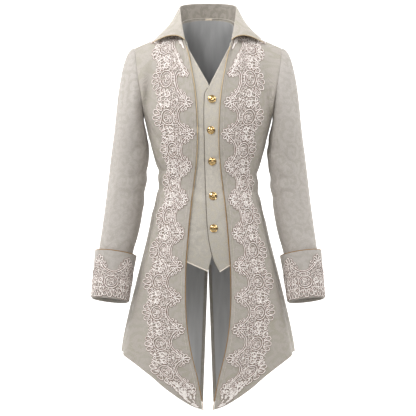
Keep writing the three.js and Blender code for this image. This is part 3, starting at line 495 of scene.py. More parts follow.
def jacquard(name, centre, radius, ground="#B3ADA3", figure="#B7B0A8", warm="#B0AA9D", lean=0.0, low=1.0):
    """The plan is unrolled round an axis at `centre`, in mm, that leans with the height; low darkens its lower end as
    painted shade.
    """
    look, tree, shader = material(name)
    place = object_place(tree)
    moved = node(tree, "ShaderNodeMapping", {"Vector": place, "Location": (-centre[0] * MM, -centre[1] * MM, 0)})
    axes = node(tree, "ShaderNodeSeparateXYZ", {0: moved.outputs[0]}).outputs
    upright = calc(tree, "MULTIPLY_ADD", axes["Z"], lean, axes["X"])
    angle = calc(tree, "ARCTAN2", upright, calc(tree, "MULTIPLY", axes["Y"], -1.0))
    round_it = calc(tree, "MULTIPLY", angle, radius * MM)
    plan = node(tree, "ShaderNodeCombineXYZ", {0: round_it, 1: axes["Z"]}).outputs[0]
    # the figure: scrolls with small leaves between them
    cells = node(tree, "ShaderNodeTexVoronoi", {"Vector": plan, "Scale": 1 / SCROLL_SIZE, "Randomness": 0.85},
                 voronoi_dimensions="2D").outputs
    local = node(tree, "ShaderNodeVectorMath", {0: plan, 1: cells["Position"]}, operation="SUBTRACT").outputs[0]
    away = node(tree, "ShaderNodeSeparateXYZ", {0: local}).outputs
    turn = calc(tree, "ARCTAN2", away["X"], away["Y"])
    scroll = calc(tree, "SINE", calc(tree, "ADD", calc(tree, "MULTIPLY", cells["Distance"], 11.5), turn))
    leaves = node(tree, "ShaderNodeTexNoise", {"Vector": plan, "Scale": 62.0, "Detail": 3.0, "Distortion": 1.6},
                  noise_dimensions="2D").outputs[0]
    motif = remap(tree, calc(tree, "MULTIPLY_ADD", leaves, 4.2, scroll), 1.7, 2.15)
    base = shades(tree, noise(tree, place, 9.0), (0.36, ground), (0.66, warm))
    body = node(tree, "ShaderNodeMix", {0: motif, 6: base, 7: srgb(figure)}, data_type="RGBA").outputs[2]
    # the threads, with flecks where they are uneven
    warp, weft = (node(tree, "ShaderNodeTexWave", {"Vector": plan, "Scale": 1 / THREAD_GAP / WAVE_TO_METRES,
                                                   "Distortion": 0.6, "Detail": 1.0},
                       bands_direction=way).outputs["Fac"] for way in "XY")
    grain = calc(tree, "ADD", calc(tree, "MULTIPLY", warp, weft), noise(tree, place, 420.0))
    tint = remap(tree, grain, 0.2, 1.4, 0.74, 1.18)
    # painted shade: below the waist the colour is scaled down towards `low`
    fade = remap(tree, axes["Z"], -0.68, -0.42, low, 1.0)
    tree.links.new(scaled(tree, body, calc(tree, "MULTIPLY", tint, fade)), shader.inputs["Base Color"])
    tree.links.new(remap(tree, motif, 0.0, 1.0, 0.72, 0.52), shader.inputs["Roughness"])
    bump(tree, shader, calc(tree, "MULTIPLY_ADD", motif, 0.9, grain), 0.3, 0.4)
    shader.inputs["Sheen Weight"].default_value = 0.25
    shader.inputs["Sheen Roughness"].default_value = 0.4
    shader.inputs["Sheen Tint"].default_value = srgb("#E9E4DC")
    shader.inputs["Specular IOR Level"].default_value = 0.3
    return look


# pale greige jacquard of the fronts and backs
BODY_JACQUARD = jacquard("jacquard_cloth_body", (0, 0), TORSO_RADIUS)
# the same cloth on the sleeves, a little more lilac, with its plan unrolled round each leaning arm
SLEEVE_JACQUARD = {word: jacquard(f"jacquard_cloth_{word}_sleeve", (side * 165, 0), 58, "#B9B3AC", "#BEB8B2",
                                  "#B6B0A8", side * 0.13) for word, side in (("left", 1), ("right", -1))}
# the inside of the neck, darker as painted shade
STAND_JACQUARD_PAINTED_SHADE = jacquard("jacquard_cloth_inside_neck_painted_shade", (0, 20), 70, "#8F8980", "#968F86", "#8B857B")
# the collar's fall
COLLAR_JACQUARD = jacquard("jacquard_cloth_collar", (0, 20), 110, "#B9B3A8", "#BFB8AF", "#B6B0A2")
# the waistcoat: greener, and darkened towards its points as painted shade
VEST_JACQUARD = jacquard("jacquard_cloth_waistcoat", (0, 0), TORSO_RADIUS, "#D0CABF", "#C8C2B8", "#C8C1B1", low=0.72)
print("jacquard finishes", 6)

# %% [markdown]
# The lining is a grey satin: long floating threads make it smooth and a little shiny, with soft streaks of light
# that run down the cloth. Streaks are noise that is stretched 30 times along the height. Towards its top, where it
# lies inside the neck, the colour is darkened as painted shade.

# %% Satin lining
def satin(name, deep, pale):
    look, tree, shader = material(name)
    place = object_place(tree)
    long_way = node(tree, "ShaderNodeMapping", {"Vector": place, "Scale": (1, 1, 0.06)})
    colour = shades(tree, noise(tree, long_way.outputs[0], 70.0, 3.0), (0.3, deep), (0.7, pale))
    # painted shade: the colour is darkened towards the top
    top_painted_shade = remap(tree, level_of(tree, place), -0.5, -0.2, 1.0, 0.78)
    tree.links.new(scaled(tree, colour, top_painted_shade), shader.inputs["Base Color"])
    threads = node(tree, "ShaderNodeMapping", {"Vector": place, "Scale": (1, 1, 0.15)})
    bump(tree, shader, noise(tree, threads.outputs[0], 900.0), 0.12, 0.3)
    shader.inputs["Roughness"].default_value = 0.38
    shader.inputs["Sheen Weight"].default_value = 0.15
    return look


# grey acetate satin
LINING = satin("grey_satin_lining", "#B4B4B4", "#C4C4C4")
print("lining finish", LINING.name)

# %% [markdown]
# Lace cord, piping and sewing thread are all twisted yarns. Each cord's mesh carries an attribute that is 1 on its
# upper side and 0 where it lies on the cloth. Every yarn uses it to paint shade on the cord's lower side, and in the
# lace this painted shade is the pinkish brown between its cords.

# %% Yarns
def yarn(name, light, deep, roughness=0.7, metallic=0.0, twist_mm=2.2, sheen=0.3, ends=(0.45, 0.95), low=None):
    """light is the upper side's colour and deep the foot's, a painted shade; a cord with a low colour takes it below
    the waist.
    """
    look, tree, shader = material(name)
    place = object_place(tree)
    upper = node(tree, "ShaderNodeAttribute", attribute_name="upper")
    # painted shade: the colour runs from deep at the cord's foot to light on its upper side
    mixed = calc(tree, "MULTIPLY_ADD", noise(tree, place, 160.0), 0.7, upper.outputs["Fac"])
    colour = shades(tree, mixed, (ends[0], deep), (ends[1], light))
    if low:
        fade = remap(tree, level_of(tree, place), -0.5, -0.3)
        colour = node(tree, "ShaderNodeMix", {0: fade, 6: srgb(low), 7: colour}, data_type="RGBA").outputs[2]
    tree.links.new(colour, shader.inputs["Base Color"])
    across = node(tree, "ShaderNodeUVMap", uv_map="along")
    leaned = node(tree, "ShaderNodeMapping", {"Vector": across.outputs[0], "Rotation": (0, 0, math.radians(35))})
    plies = node(tree, "ShaderNodeTexWave", {"Vector": leaned.outputs[0], "Distortion": 0.4,
                                             "Scale": 1 / (twist_mm * MM) / WAVE_TO_METRES})
    bump(tree, shader, plies.outputs["Fac"], 0.6, 0.4)
    shader.inputs["Roughness"].default_value = roughness
    shader.inputs["Metallic"].default_value = metallic
    shader.inputs["Sheen Weight"].default_value = sheen
    return look


# each yarn's deep colour below is painted shade on the cord's lower side
# ivory mercerised cotton; the pinkish brown of its foot is painted shade between the cords
LACE_YARN = yarn("mercerised_lace_cord", "#FFF9F4", "#7C5848", roughness=0.62, ends=(0.78, 1.25))
# pale gold braid, browner on the skirt
GOLD_BRAID = yarn("gold_braid_piping", "#D8C096", "#8C6E45", low="#A88250", roughness=0.42, metallic=0.35, sheen=0.0)
# cream satin bias strip
CREAM_BINDING = yarn("cream_satin_binding", "#F0E6D8", "#CDBFAD", roughness=0.5)
# a dark cord under the waistcoat's lapped edge: a painted shadow line
SHADOW_LINE_CORD = yarn("painted_shadow_edge_cord", "#7C7266", "#5E554B")
# polyester sewing thread
SEWING_THREAD = yarn("sewing_thread", "#DCD5C9", "#A9A196", roughness=0.6, twist_mm=1.0)
print("yarn finishes", 5)

# %% [markdown]
# The fronts and the backs are cut as four panels. Each panel is a fine grid over the same surface as the CAD solid,
# moved in and out by the creases. The wrong side of the fronts carries the lining's satin, as in a lined coat.

# %% Coat panels
SIDES = (("left", 1), ("right", -1))
PANEL_U = np.linspace(0, 1, 57)
PANEL_V = np.concatenate([np.linspace(-1, 0, 61)[:-1], np.linspace(0, 1, 131)])


def panel_surface(face, side, u, v, inwards):
    """Points of a panel, a layer `inwards` mm inside its right side."""
    point = panel_point(face, u, v)
    at_seam = np.maximum(np.where(v >= 0, ease(u, 0.9, 1), 0), ease(-v, 0.86, 1) * ease(u, 0.2, NECK_SHARE))
    point[..., 1] += face * SEAM * 0.6 * at_seam
    normal = panel_normal(face, u, v)
    lift = drape(mirrored(point, side))
    return mirrored(point + normal * (lift - inwards)[..., None], side)


def coat_panel(face, name, side):
    u, v = np.meshgrid(PANEL_U, PANEL_V)
    outer = panel_surface(face, side, u, v, 0)
    inner = panel_surface(face, side, u, v, COAT_CLOTH)
    if face > 0:
        inner[:, 0, 0] = side * np.maximum(side * inner[:, 0, 0], SEAM / 2)
    return cloth(name, outer, inner, [BODY_JACQUARD, LINING], inner_slot=1 if face < 0 else 0)


for word, side in SIDES:
    for face, part in ((-1, "front"), (1, "back")):
        dress(coat_panel(face, f"cloth_{part}_{word}", side), "jacquard", f"coat_{part}_{word}")

# %% [markdown]
# The sleeve is a curved tube. Its sections are square to the arm, which hangs a little outwards and bends forward
# at the elbow. At the top a head of cloth leaves the armhole and turns down into the tube. It gets a plan of
# creases of its own: degrees round the arm (0 outside, 90 in front, 180 inside, 270 behind) and the level.

# %% Sleeves
SLEEVE = [(-300, 258.5, 161.5, 7, 66), (-335, 263, 160.5, 8, 64), (-394, 270, 167, 8, 61), (-481, 280, 177.5, 1, 57),
          (-538, 288, 188, -7, 54), (-598, 296.5, 204, -17, 50), (-735, 312, 221, -38, 46)]
CAP_END, SLEEVE_END = -300, -726
FRONT_SEAM, BACK_SEAM = math.radians(118), math.radians(258)
SLEEVE_RADIUS = 55
FOLD_SHARE = 0.65
sleeve_outer, sleeve_inner, sleeve_y, sleeve_depth = (through([(r[0], r[k]) for r in SLEEVE]) for k in (1, 2, 3, 4))
SLEEVE_FOLDS = {
    "left": [
        (-3.4, 11, [(190, -300), (135, -318), (96, -350)]), (2.4, 10, [(180, -330), (130, -352), (98, -386)]),
        (-3.6, 10, [(200, -392), (150, -404), (104, -400)]), (2.2, 9, [(190, -422), (140, -432), (100, -424)]),
        (-3.2, 10, [(196, -452), (146, -452), (92, -436)]), (-2.4, 12, [(60, -160), (82, -230), (92, -300)]),
        (-2.2, 13, [(20, -110), (38, -190), (48, -300), (44, -380)]), (1.8, 12, [(70, -380), (60, -470), (66, -570)]),
        (-2.0, 11, [(120, -500), (84, -540), (52, -556)]), (-2.4, 11, [(318, -300), (300, -380), (262, -420)]),
        (-2.8, 11, [(250, -330), (286, -352), (322, -398)]), (2.0, 11, [(240, -400), (280, -420), (310, -470)]),
        (-2.2, 12, [(300, -120), (288, -200), (270, -270)]), (-1.8, 10, [(30, -560), (10, -580), (-20, -590)]),
    ],
    "right": [
        (-3.2, 11, [(186, -290), (140, -306), (100, -330)]), (-3.8, 11, [(204, -372), (154, -388), (110, -392)]),
        (2.4, 10, [(196, -402), (146, -414), (106, -416)]), (-3.0, 10, [(190, -436), (140, -446), (88, -440)]),
        (2.0, 9, [(186, -468), (136, -474), (96, -470)]), (-2.4, 12, [(66, -150), (88, -214), (100, -276)]),
        (-2.4, 13, [(12, -130), (28, -220), (36, -330), (30, -420)]), (2.0, 12, [(62, -410), (52, -500), (60, -580)]),
        (-2.2, 11, [(126, -520), (92, -560), (64, -574)]), (-2.6, 11, [(326, -320), (300, -392), (266, -436)]),
        (-2.6, 11, [(246, -310), (280, -336), (318, -370)]), (1.8, 11, [(236, -420), (276, -446), (316, -500)]),
        (-2.0, 12, [(306, -140), (290, -220), (276, -290)]), (-1.6, 10, [(-16, -520), (-30, -560), (-20, -590)]),
    ],
}


def sleeve_middle(z):
    return points((sleeve_outer(z) + sleeve_inner(z)) / 2, sleeve_y(z), z)


def sleeve_section(z, turn, off=0.0):
    z, turn, off = np.broadcast_arrays(*(np.asarray(v, float) for v in (z, turn, off)))
    along = unit(sleeve_middle(z + 12) - sleeve_middle(z - 12))
    to_outer = unit(np.array([1.0, 0, 0]) - along * along[..., :1])
    to_front = unit(np.cross(along, to_outer))
    to_front = np.where(to_front[..., 1:2] > 0, -to_front, to_front)
    half = (sleeve_outer(z) - sleeve_inner(z)) / 2 + off
    return (sleeve_middle(z) + to_outer * (half * np.cos(turn))[..., None]
            + to_front * ((sleeve_depth(z) + off) * np.sin(turn))[..., None])


def armhole(turn):
    whole = np.mod(turn / math.pi, 2)
    front = panel_point(-1, np.ones_like(whole), np.clip(whole - 1, -1, 0))
    back = panel_point(1, np.ones_like(whole), np.clip(1 - whole, -1, 0))
    return np.where((whole <= 1)[..., None], front, back)


def sleeve_point(turn, v):
    """v runs from 0 at the armhole over 1, where the head ends, to 2 at the wrist."""
    turn, v = np.broadcast_arrays(np.asarray(turn, float), np.asarray(v, float))
    t = np.clip(v, -0.02, 1)[..., None]
    outwards = (np.cos(turn) ** 2)[..., None]
    level = np.where((np.cos(turn) > 0)[..., None], [118, 0, 8, 262], [8, 0, -62, 58])
    flank = np.where((np.sin(turn) > 0)[..., None], [62, -40, -44, 150], [58, 30, -44, 150])
    leave = mix(flank, level, outwards)
    arrive = unit(sleeve_section(CAP_END - 6, turn) - sleeve_section(CAP_END + 6, turn)) * leave[..., 3:]
    start = armhole(turn) + np.array([SEAM + 0.15, 0, 0])
    head = hermite(start, leave[..., :3], sleeve_section(CAP_END, turn), arrive, t)
    tube = sleeve_section(mix(CAP_END, SLEEVE_END, np.clip(v - 1, 0, 1.02)), turn)
    return np.where((v <= 1)[..., None], head, tube)


def sleeve_lift(word, turn, point):
    level = point[..., 2]
    degrees = np.degrees(turn)
    per_degree = math.radians(1) * SLEEVE_RADIUS
    total = np.zeros(np.shape(degrees))
    for round_it in (-360, 0, 360):
        total += carve((degrees + round_it) * per_degree, level, SLEEVE_FOLDS[word], per_degree)
    total += 0.4 * np.sin(degrees / 23 + level / 37) + 0.3 * np.sin(level / 29 - degrees / 41)
    return FOLD_SHARE * total * ease(-level, 70, 130) * (1 - ease(-level, 560, 604))


def sleeve_piece(name, word, side, start, end, count):
    gap = SEAM / 2 / SLEEVE_RADIUS
    turns = np.linspace(start + gap, end - gap, count)
    turn, v = np.meshgrid(turns, np.concatenate([np.linspace(0, 1, 37)[:-1], np.linspace(1, 2, 77)]))
    point = sleeve_point(turn, v)
    normal = normal_of(sleeve_point, turn, np.clip(v, 0.01, 1.98), 0.01)
    fade = ease(v, 0.0, 0.12)
    lift = (sleeve_lift(word, turn, point) * fade)[..., None]
    outer, inner = point + normal * lift, point + normal * (lift - SLEEVE_CLOTH)
    return cloth(name, mirrored(outer, side), mirrored(inner, side), [SLEEVE_JACQUARD[word]])


SLEEVE_PARTS = (("upper", BACK_SEAM - 2 * math.pi, FRONT_SEAM, 89), ("under", FRONT_SEAM, BACK_SEAM, 57))
for word, side in SIDES:
    for part, start, end, count in SLEEVE_PARTS:
        made = sleeve_piece(f"cloth_{part}_sleeve_{word}", word, side, start, end, count)
        dress(made, "jacquard", f"{part}_sleeve_{word}")

# %% [markdown]
# The cuff is one strip, folded at the wrist and turned up over the sleeve, where it stands off a little more at its
# top. Its profile is drawn once and carried round the arm's own sections.

# %% Turned-back cuffs
CUFF = [(-605, 10.2), (-640, 8.6), (-690, 6.4), (-722, 5.2), (-729.5, 4.2)]
cuff_off = through(CUFF)


def cuff_wave(turn, z, word):
    """The cuff stands off unevenly round its top."""
    shift = 0.6 if word == "left" else 2.1
    return (0.9 * np.sin(2 * turn + shift) + 0.5 * np.sin(3 * turn - shift)) * ease(z, -725, -610)


def cuff_piece(word, side):
    foot = -729.5
    outside = [(z, float(cuff_off(z))) for z in np.linspace(-605, foot, 22)]
    fold = [(foot - 0.9, 3.5), (foot - 1.2, 2.7), (foot - 0.9, 1.6), (foot, 0.8)]
    inside = [(z, 0.5) for z in np.linspace(foot + 1.5, -715.5, 5)] + [(-713, 1.6), (-712, 2.6)]
    wrong = [(z, float(cuff_off(z)) - COAT_CLOTH) for z in np.linspace(-704, -605.6, 12)]
    profile = np.array(outside + fold + inside + wrong)
    turns = np.linspace(0, 2 * math.pi, 97)[:-1]
    turn, z = np.meshgrid(turns, profile[:, 0])
    off = profile[:, 1][:, None] + cuff_wave(turn, z, word) * (profile[:, 1][:, None] > 3)
    ring = mirrored(sleeve_section(z, turn, off), side)
    rows, columns = ring.shape[:2]
    faces = []
    for i in range(rows):
        for j in range(columns):
            a, b = i * columns + j, i * columns + (j + 1) % columns
            n = (i + 1) % rows * columns
            faces.append((a, n + j, n + (j + 1) % columns, b))
    flat = ring.reshape(-1, 3)
    middle = flat.mean(0)
    volume = sum(float((flat[f[0]] - middle) @ np.cross(flat[f[1]] - middle, flat[f[2]] - middle)) for f in faces)
    if volume < 0:
        faces = [f[::-1] for f in faces]
    piece = new_mesh(f"cloth_cuff_{word}", flat, faces)
    piece.data.materials.append(SLEEVE_JACQUARD[word])
    smooth(piece, 60)
    return piece


for word, side in SIDES:
    dress(cuff_piece(word, side), "jacquard", f"cuff_{word}")

# %% [markdown]
# The waistcoat fronts are sewn in under the coat fronts and meet at the middle, the wearer's left one on top. They
# follow the surface that the coat fronts would have if they closed, one and two layers further in.

# %% The surface under the coat fronts
def bisect(shape, is_short):
    """The place between 0 and 1, at each point, where the test turns false."""
    low, high = np.zeros(shape), np.ones(shape)
    for _ in range(24):
        middle = (low + high) / 2
        short = is_short(middle)
        low, high = np.where(short, middle, low), np.where(short, high, middle)
    return low


def front_surface(x, level):
    """A point x from the middle of the coat's front, on the row that meets the front edge at this level."""
    x, level = np.broadcast_arrays(np.asarray(x, float), np.asarray(level, float))
    away = np.abs(x)
    low_level = np.minimum(level, CHEST)
    below = torso_point(-1, torso_turn(away, low_level), low_level)
    t = bisect(x.shape, lambda middle: upper_point(-1, 0 * x, middle)[..., 2] < level)
    edge = upper_point(-1, 0 * x, t)
    crown = torso_front(CHEST) - np.abs(torso_point(-1, torso_turn(edge[..., 0], CHEST), float(CHEST))[..., 1])
    inside = points(x, edge[..., 1] - crown * (1 - (away / np.maximum(edge[..., 0], 1)) ** 2), edge[..., 2])
    near = bisect(x.shape, lambda middle: upper_point(-1, middle, t)[..., 0] < away)
    outside = upper_point(-1, near, t)
    above = np.where((away <= edge[..., 0])[..., None], inside, outside)
    point = np.where((level <= CHEST)[..., None], below, above)
    point[..., 0] = x
    return point


GRID_X, GRID_Z = np.linspace(0, 200, 101), np.linspace(-1034, -26, 253)
grid_x, grid_z = np.meshgrid(GRID_X, GRID_Z)
FRONT_GRID = front_surface(grid_x, grid_z)
grid_across, grid_up = np.gradient(FRONT_GRID, axis=1), np.gradient(FRONT_GRID, axis=0)
FRONT_UP = unit(np.cross(grid_across, grid_up))
FRONT_UP = np.where(FRONT_UP[..., 1:2] > 0, -FRONT_UP, FRONT_UP)


def from_grid(values, x, level):
    """Reads a grid of points or directions between its nodes, for either side of the coat."""
    x, level = np.broadcast_arrays(np.asarray(x, float), np.asarray(level, float))
    across = np.clip((np.abs(x) - GRID_X[0]) / (GRID_X[1] - GRID_X[0]), 0, len(GRID_X) - 1.001)
    down = np.clip((level - GRID_Z[0]) / (GRID_Z[1] - GRID_Z[0]), 0, len(GRID_Z) - 1.001)
    i, j = down.astype(int), across.astype(int)
    a, b = (down - i)[..., None], (across - j)[..., None]
    value = mix(mix(values[i, j], values[i, j + 1], b), mix(values[i + 1, j], values[i + 1, j + 1], b), a)
    value[..., 0] = np.where(x < 0, -value[..., 0], value[..., 0])
    return value


def front_normal(x, level):
    return unit(from_grid(FRONT_UP, x, level))


def on_front(x, level, off):
    """A point on the coat's front, `off` mm outside the cloth, creases and all."""
    base = from_grid(FRONT_GRID, x, level)
    return base + front_normal(x, level) * (drape(base) + off)[..., None]


print("front surface read at", FRONT_GRID.shape[0] * FRONT_GRID.shape[1], "points")

# %% [markdown]
# Each waistcoat front is one sheet from its own inner edge to under the coat front. Its V neck, overlap and pointed
# hem are one curve. The edge is puffed a little, as a turned edge is.

# %% Waistcoat fronts
VEST_OVER = [(-38, 61), (-152, 3), (-176, -9), (-324, -9), (-459, -5), (-553, 1), (-615, 14), (-651, 31)]
VEST_UNDER = [(-38, 61), (-152, -3), (-176, -16), (-553, -15), (-601, -11), (-649, 1)]
OVER_DEPTH = COAT_CLOTH + LAYER_GAP
UNDER_DEPTH = OVER_DEPTH + VEST_CLOTH + LAYER_GAP


def vest_piece(name, table, depth, side):
    edge = through(table)
    tip = table[-1][0]
    rows = np.concatenate([np.linspace(-40, CHEST, 40)[:-1], np.linspace(CHEST, tip, 70)])
    row, share = np.meshgrid(rows, np.linspace(0, 1, 26), indexing="ij")
    low = mix(CHEST, tip + 45 * share, (row - CHEST) / (tip - CHEST))
    z = np.where(row >= CHEST, row, low)
    reach = mix(45, 14, ease(z, -170, -60))
    x = side * mix(edge(row), front_edge(z) + reach, share)
    puff = 0.9 * np.exp(-((share - 0.0) / 0.1) ** 2)
    outer, inner = on_front(x, z, puff - depth), on_front(x, z, puff - depth - VEST_CLOTH)
    return cloth(name, outer, inner, [VEST_JACQUARD, LINING], inner_slot=1), outer


VESTS = {}
for word, table, depth, side in (("left", VEST_OVER, OVER_DEPTH, 1), ("right", VEST_UNDER, UNDER_DEPTH, -1)):
    piece, outer = vest_piece(f"cloth_vest_{word}", table, depth, side)
    dress(piece, "jacquard", f"vest_{word}")
    VESTS[word] = outer

# %% [markdown]
# The collar is a strip that stands on the neckline, rolls over at its fold and falls to its spread points. It is one
# sheet here: the profile goes up the stand, round the fold and down the fall, so the roll has no seam.

# %% Collar
COLLAR = [(63.5, -60, -25, 92, 15, 149, -24, -31), (72, -30, 18, 100, 8, 138, -10, -17),
          (76, 8, 51, 99, 2, 123, 12, -5), (75, 46, 71, 90, 0, 101, 62, 8), (46, 78, 79, 55, 0, 58, 100, 17),
          (0, 86, 81, 0, 0, 0, 110, 20)]
(fold_x, fold_y, fold_z, bow_x, bow_lift, edge_x, edge_y, edge_z) = (
    through([(i, row[k]) for i, row in enumerate(COLLAR)]) for k in range(8))


def collar_fold(s):
    row = NAPE * (1 - np.abs(s))
    return points(np.sign(s) * fold_x(row), fold_y(row), fold_z(row))


def neck_base(s):
    s = np.asarray(s, float)
    return neckline(NAPE * (1 - np.abs(s))) * np.stack([np.where(s < 0, -1, 1), s * 0 + 1, s * 0 + 1], -1)


def stand_point(s, share, thick):
    base = neck_base(s)
    rise = collar_fold(s) - base
    length = np.linalg.norm(rise, axis=-1)
    reach = mix(SEAM * mix(2, 5, ease(np.abs(s), 0.7, 1)), length, share)
    along = collar_fold(np.minimum(1, s + 0.02)) - collar_fold(np.maximum(-1, s - 0.02))
    out = unit(np.cross(along, rise))
    wrong = (out * points(base[..., 0], base[..., 1] - 10, 0 * s)).sum(-1) < 0
    out = np.where(wrong[..., None], -out, out)
    return base + unit(rise) * reach[..., None] - out * np.asarray(thick)[..., None]


def fall_point(s, share):
    s, share = np.broadcast_arrays(np.asarray(s, float), np.asarray(share, float))
    row, sign = NAPE * (1 - np.abs(s)), np.where(s < 0, -1, 1)
    start = collar_fold(s)
    out = unit(start * (1, 1, 0))
    start = start + out * (SEAM + 0.3)
    edge = points(sign * edge_x(row), edge_y(row), edge_z(row))
    bow = points(sign * bow_x(row), mix(start[..., 1], edge[..., 1], 0.42) - bow_lift(row) * 0.6,
                 mix(start[..., 2], edge[..., 2], 0.5) + 2 * bow_lift(row))
    t = share[..., None]
    return start * (1 - t) ** 2 + bow * (2 * t * (1 - t)) + edge * t * t


def fall_normal(s, share):
    s, share = np.clip(s, -0.99, 0.99), np.clip(share, 0.01, 0.99)
    across = fall_point(s + 0.01, share) - fall_point(s - 0.01, share)
    down = fall_point(s, share + 0.01) - fall_point(s, share - 0.01)
    normal = unit(np.cross(across, down))
    place = fall_point(s, share)
    wrong = (normal * points(place[..., 0], place[..., 1], 60)).sum(-1) < 0
    return np.where(wrong[..., None], -normal, normal)


COLLAR_S = np.linspace(-1, 1, 181)
s, up = np.meshgrid(COLLAR_S, np.linspace(0, 0.97, 12), indexing="xy")
stand_in, stand_out = stand_point(s, up, COLLAR_CLOTH + 0 * s), stand_point(s, up, 0 * s)
s, down = np.meshgrid(COLLAR_S, np.linspace(0.03, 1, 30), indexing="xy")
wave = 0.5 * np.sin(9 * s + 1.2) * ease(down, 0.3, 1) + 0.3 * np.sin(17 * s) * ease(down, 0.5, 1)
fall_under = fall_point(s, down) + fall_normal(s, down) * wave[..., None]
fall_top = fall_point(s, down) + fall_normal(s, down) * (wave + COLLAR_CLOTH)[..., None]
s, turn = np.meshgrid(COLLAR_S, np.linspace(0, math.pi, 9)[1:-1], indexing="xy")
crest_in, crest_out = stand_point(s, 0 * s + 1, COLLAR_CLOTH + 0 * s), (
    fall_point(s, 0 * s) + fall_normal(s, 0 * s + 0.01) * COLLAR_CLOTH)
middle, half = (crest_in + crest_out) / 2, (crest_out - crest_in) / 2
rise = np.array([0, 0, 1.0]) * (np.linalg.norm(half, axis=-1)[..., None] * 0.9)
roll = middle - half * np.cos(turn)[..., None] + rise * np.sin(turn)[..., None] - [0, 0, 1.4]
core = middle - half * 0.12 * np.cos(turn)[..., None] - [0, 0, 1.6]
collar = cloth("cloth_collar", np.concatenate([stand_in, roll, fall_top]),
               np.concatenate([stand_out, core, fall_under]), [COLLAR_JACQUARD, STAND_JACQUARD_PAINTED_SHADE])
# painted shade: the inside rows of the stand take the darker cloth
for face in collar.data.polygons:
    face.material_index = int(max(face.vertices) < 13 * len(COLLAR_S))
dress(collar, "jacquard", "collar_stand", "collar_fall")

# %% [markdown]
# The back of the coat is lined to the hem. The lining hangs a little looser than the cloth, in soft upright folds,
# and it is slit where the centre-back seam opens.

# %% Lining of the back
half_u = np.linspace(0.02, 0.955, 34)
column_u = np.concatenate([half_u[::-1], half_u])
column_side = np.concatenate([-np.ones(34), np.ones(34)])
lining_v = np.concatenate([np.linspace(-0.985, 0, 50)[:-1], np.linspace(0, 0.975, 90)])


def lining_layer(depth):
    u, v = np.meshgrid(column_u, lining_v)
    side = np.broadcast_to(column_side, u.shape)
    point = panel_point(1, u, v)
    normal = panel_normal(1, u, v)
    signs = np.stack([side, side * 0 + 1, side * 0 + 1], -1)
    place = point * signs
    loose = (1.3 + 1.3 * np.sin(place[..., 0] / 9.5 + 1.2 * np.sin(place[..., 2] / 120))) * ease(-v, -0.9, -0.2)
    loose = loose + (0.8 + 0.8 * np.sin(place[..., 0] / 6 + place[..., 2] / 60)) * ease(v, -0.2, 0.3)
    return (point + normal * (drape(place) - depth - loose)[..., None]) * signs


lining_gap = COAT_CLOTH + LAYER_GAP + SEAM
whole = np.ones((len(lining_v) - 1, len(column_u) - 1), bool)
slit_levels = panel_point(1, np.full(len(lining_v), 0.02), lining_v)[:, 2]
whole[slit_levels[1:] <= VENT_TOP, len(half_u) - 1] = False
lining = cloth("satin_lining_back", lining_layer(lining_gap), lining_layer(lining_gap + LINING_CLOTH), [LINING],
               keep=whole)
dress(lining, "lining", "lining_back")

# %% [markdown]
# Cords of every kind are tubes round a smooth path: lace, piping and thread. All the cords of one piece go into one
# mesh. Each point of a path knows which way is up from the cloth, so the tube can be pressed a little flat and can
# mark its upper side.

# %% Tubes along paths
def resample(path, step, closed=False):
    """Even steps along a smooth curve through the path's points."""
    path = np.asarray(path, float)
    padded = np.concatenate([path[-2:], path, path[:3]]) if closed else np.concatenate(
        [[2 * path[0] - path[1]], path, [2 * path[-1] - path[-2]]])
    fine = []
    first = 1 if closed else 0
    for k in range(first, first + (len(path) if closed else len(path) - 1)):
        a, b, c, d = padded[k], padded[k + 1], padded[k + 2], padded[k + 3]
        t = np.linspace(0, 1, 8, endpoint=False)[:, None]
        fine.append(hermite(b, (c - a) / 2, c, (d - b) / 2, t))
    fine = np.concatenate(fine + [path[:1] if closed else path[-1:]])
    run = np.concatenate([[0], np.cumsum(np.linalg.norm(np.diff(fine, axis=0), axis=1))])
    count = max(4 if closed else 2, int(round(run[-1] / step)) + 1)
    even = np.linspace(0, run[-1], count)
    out = np.stack([np.interp(even, run, fine[:, k]) for k in range(path.shape[1])], -1)
    return out[:-1] if closed else out


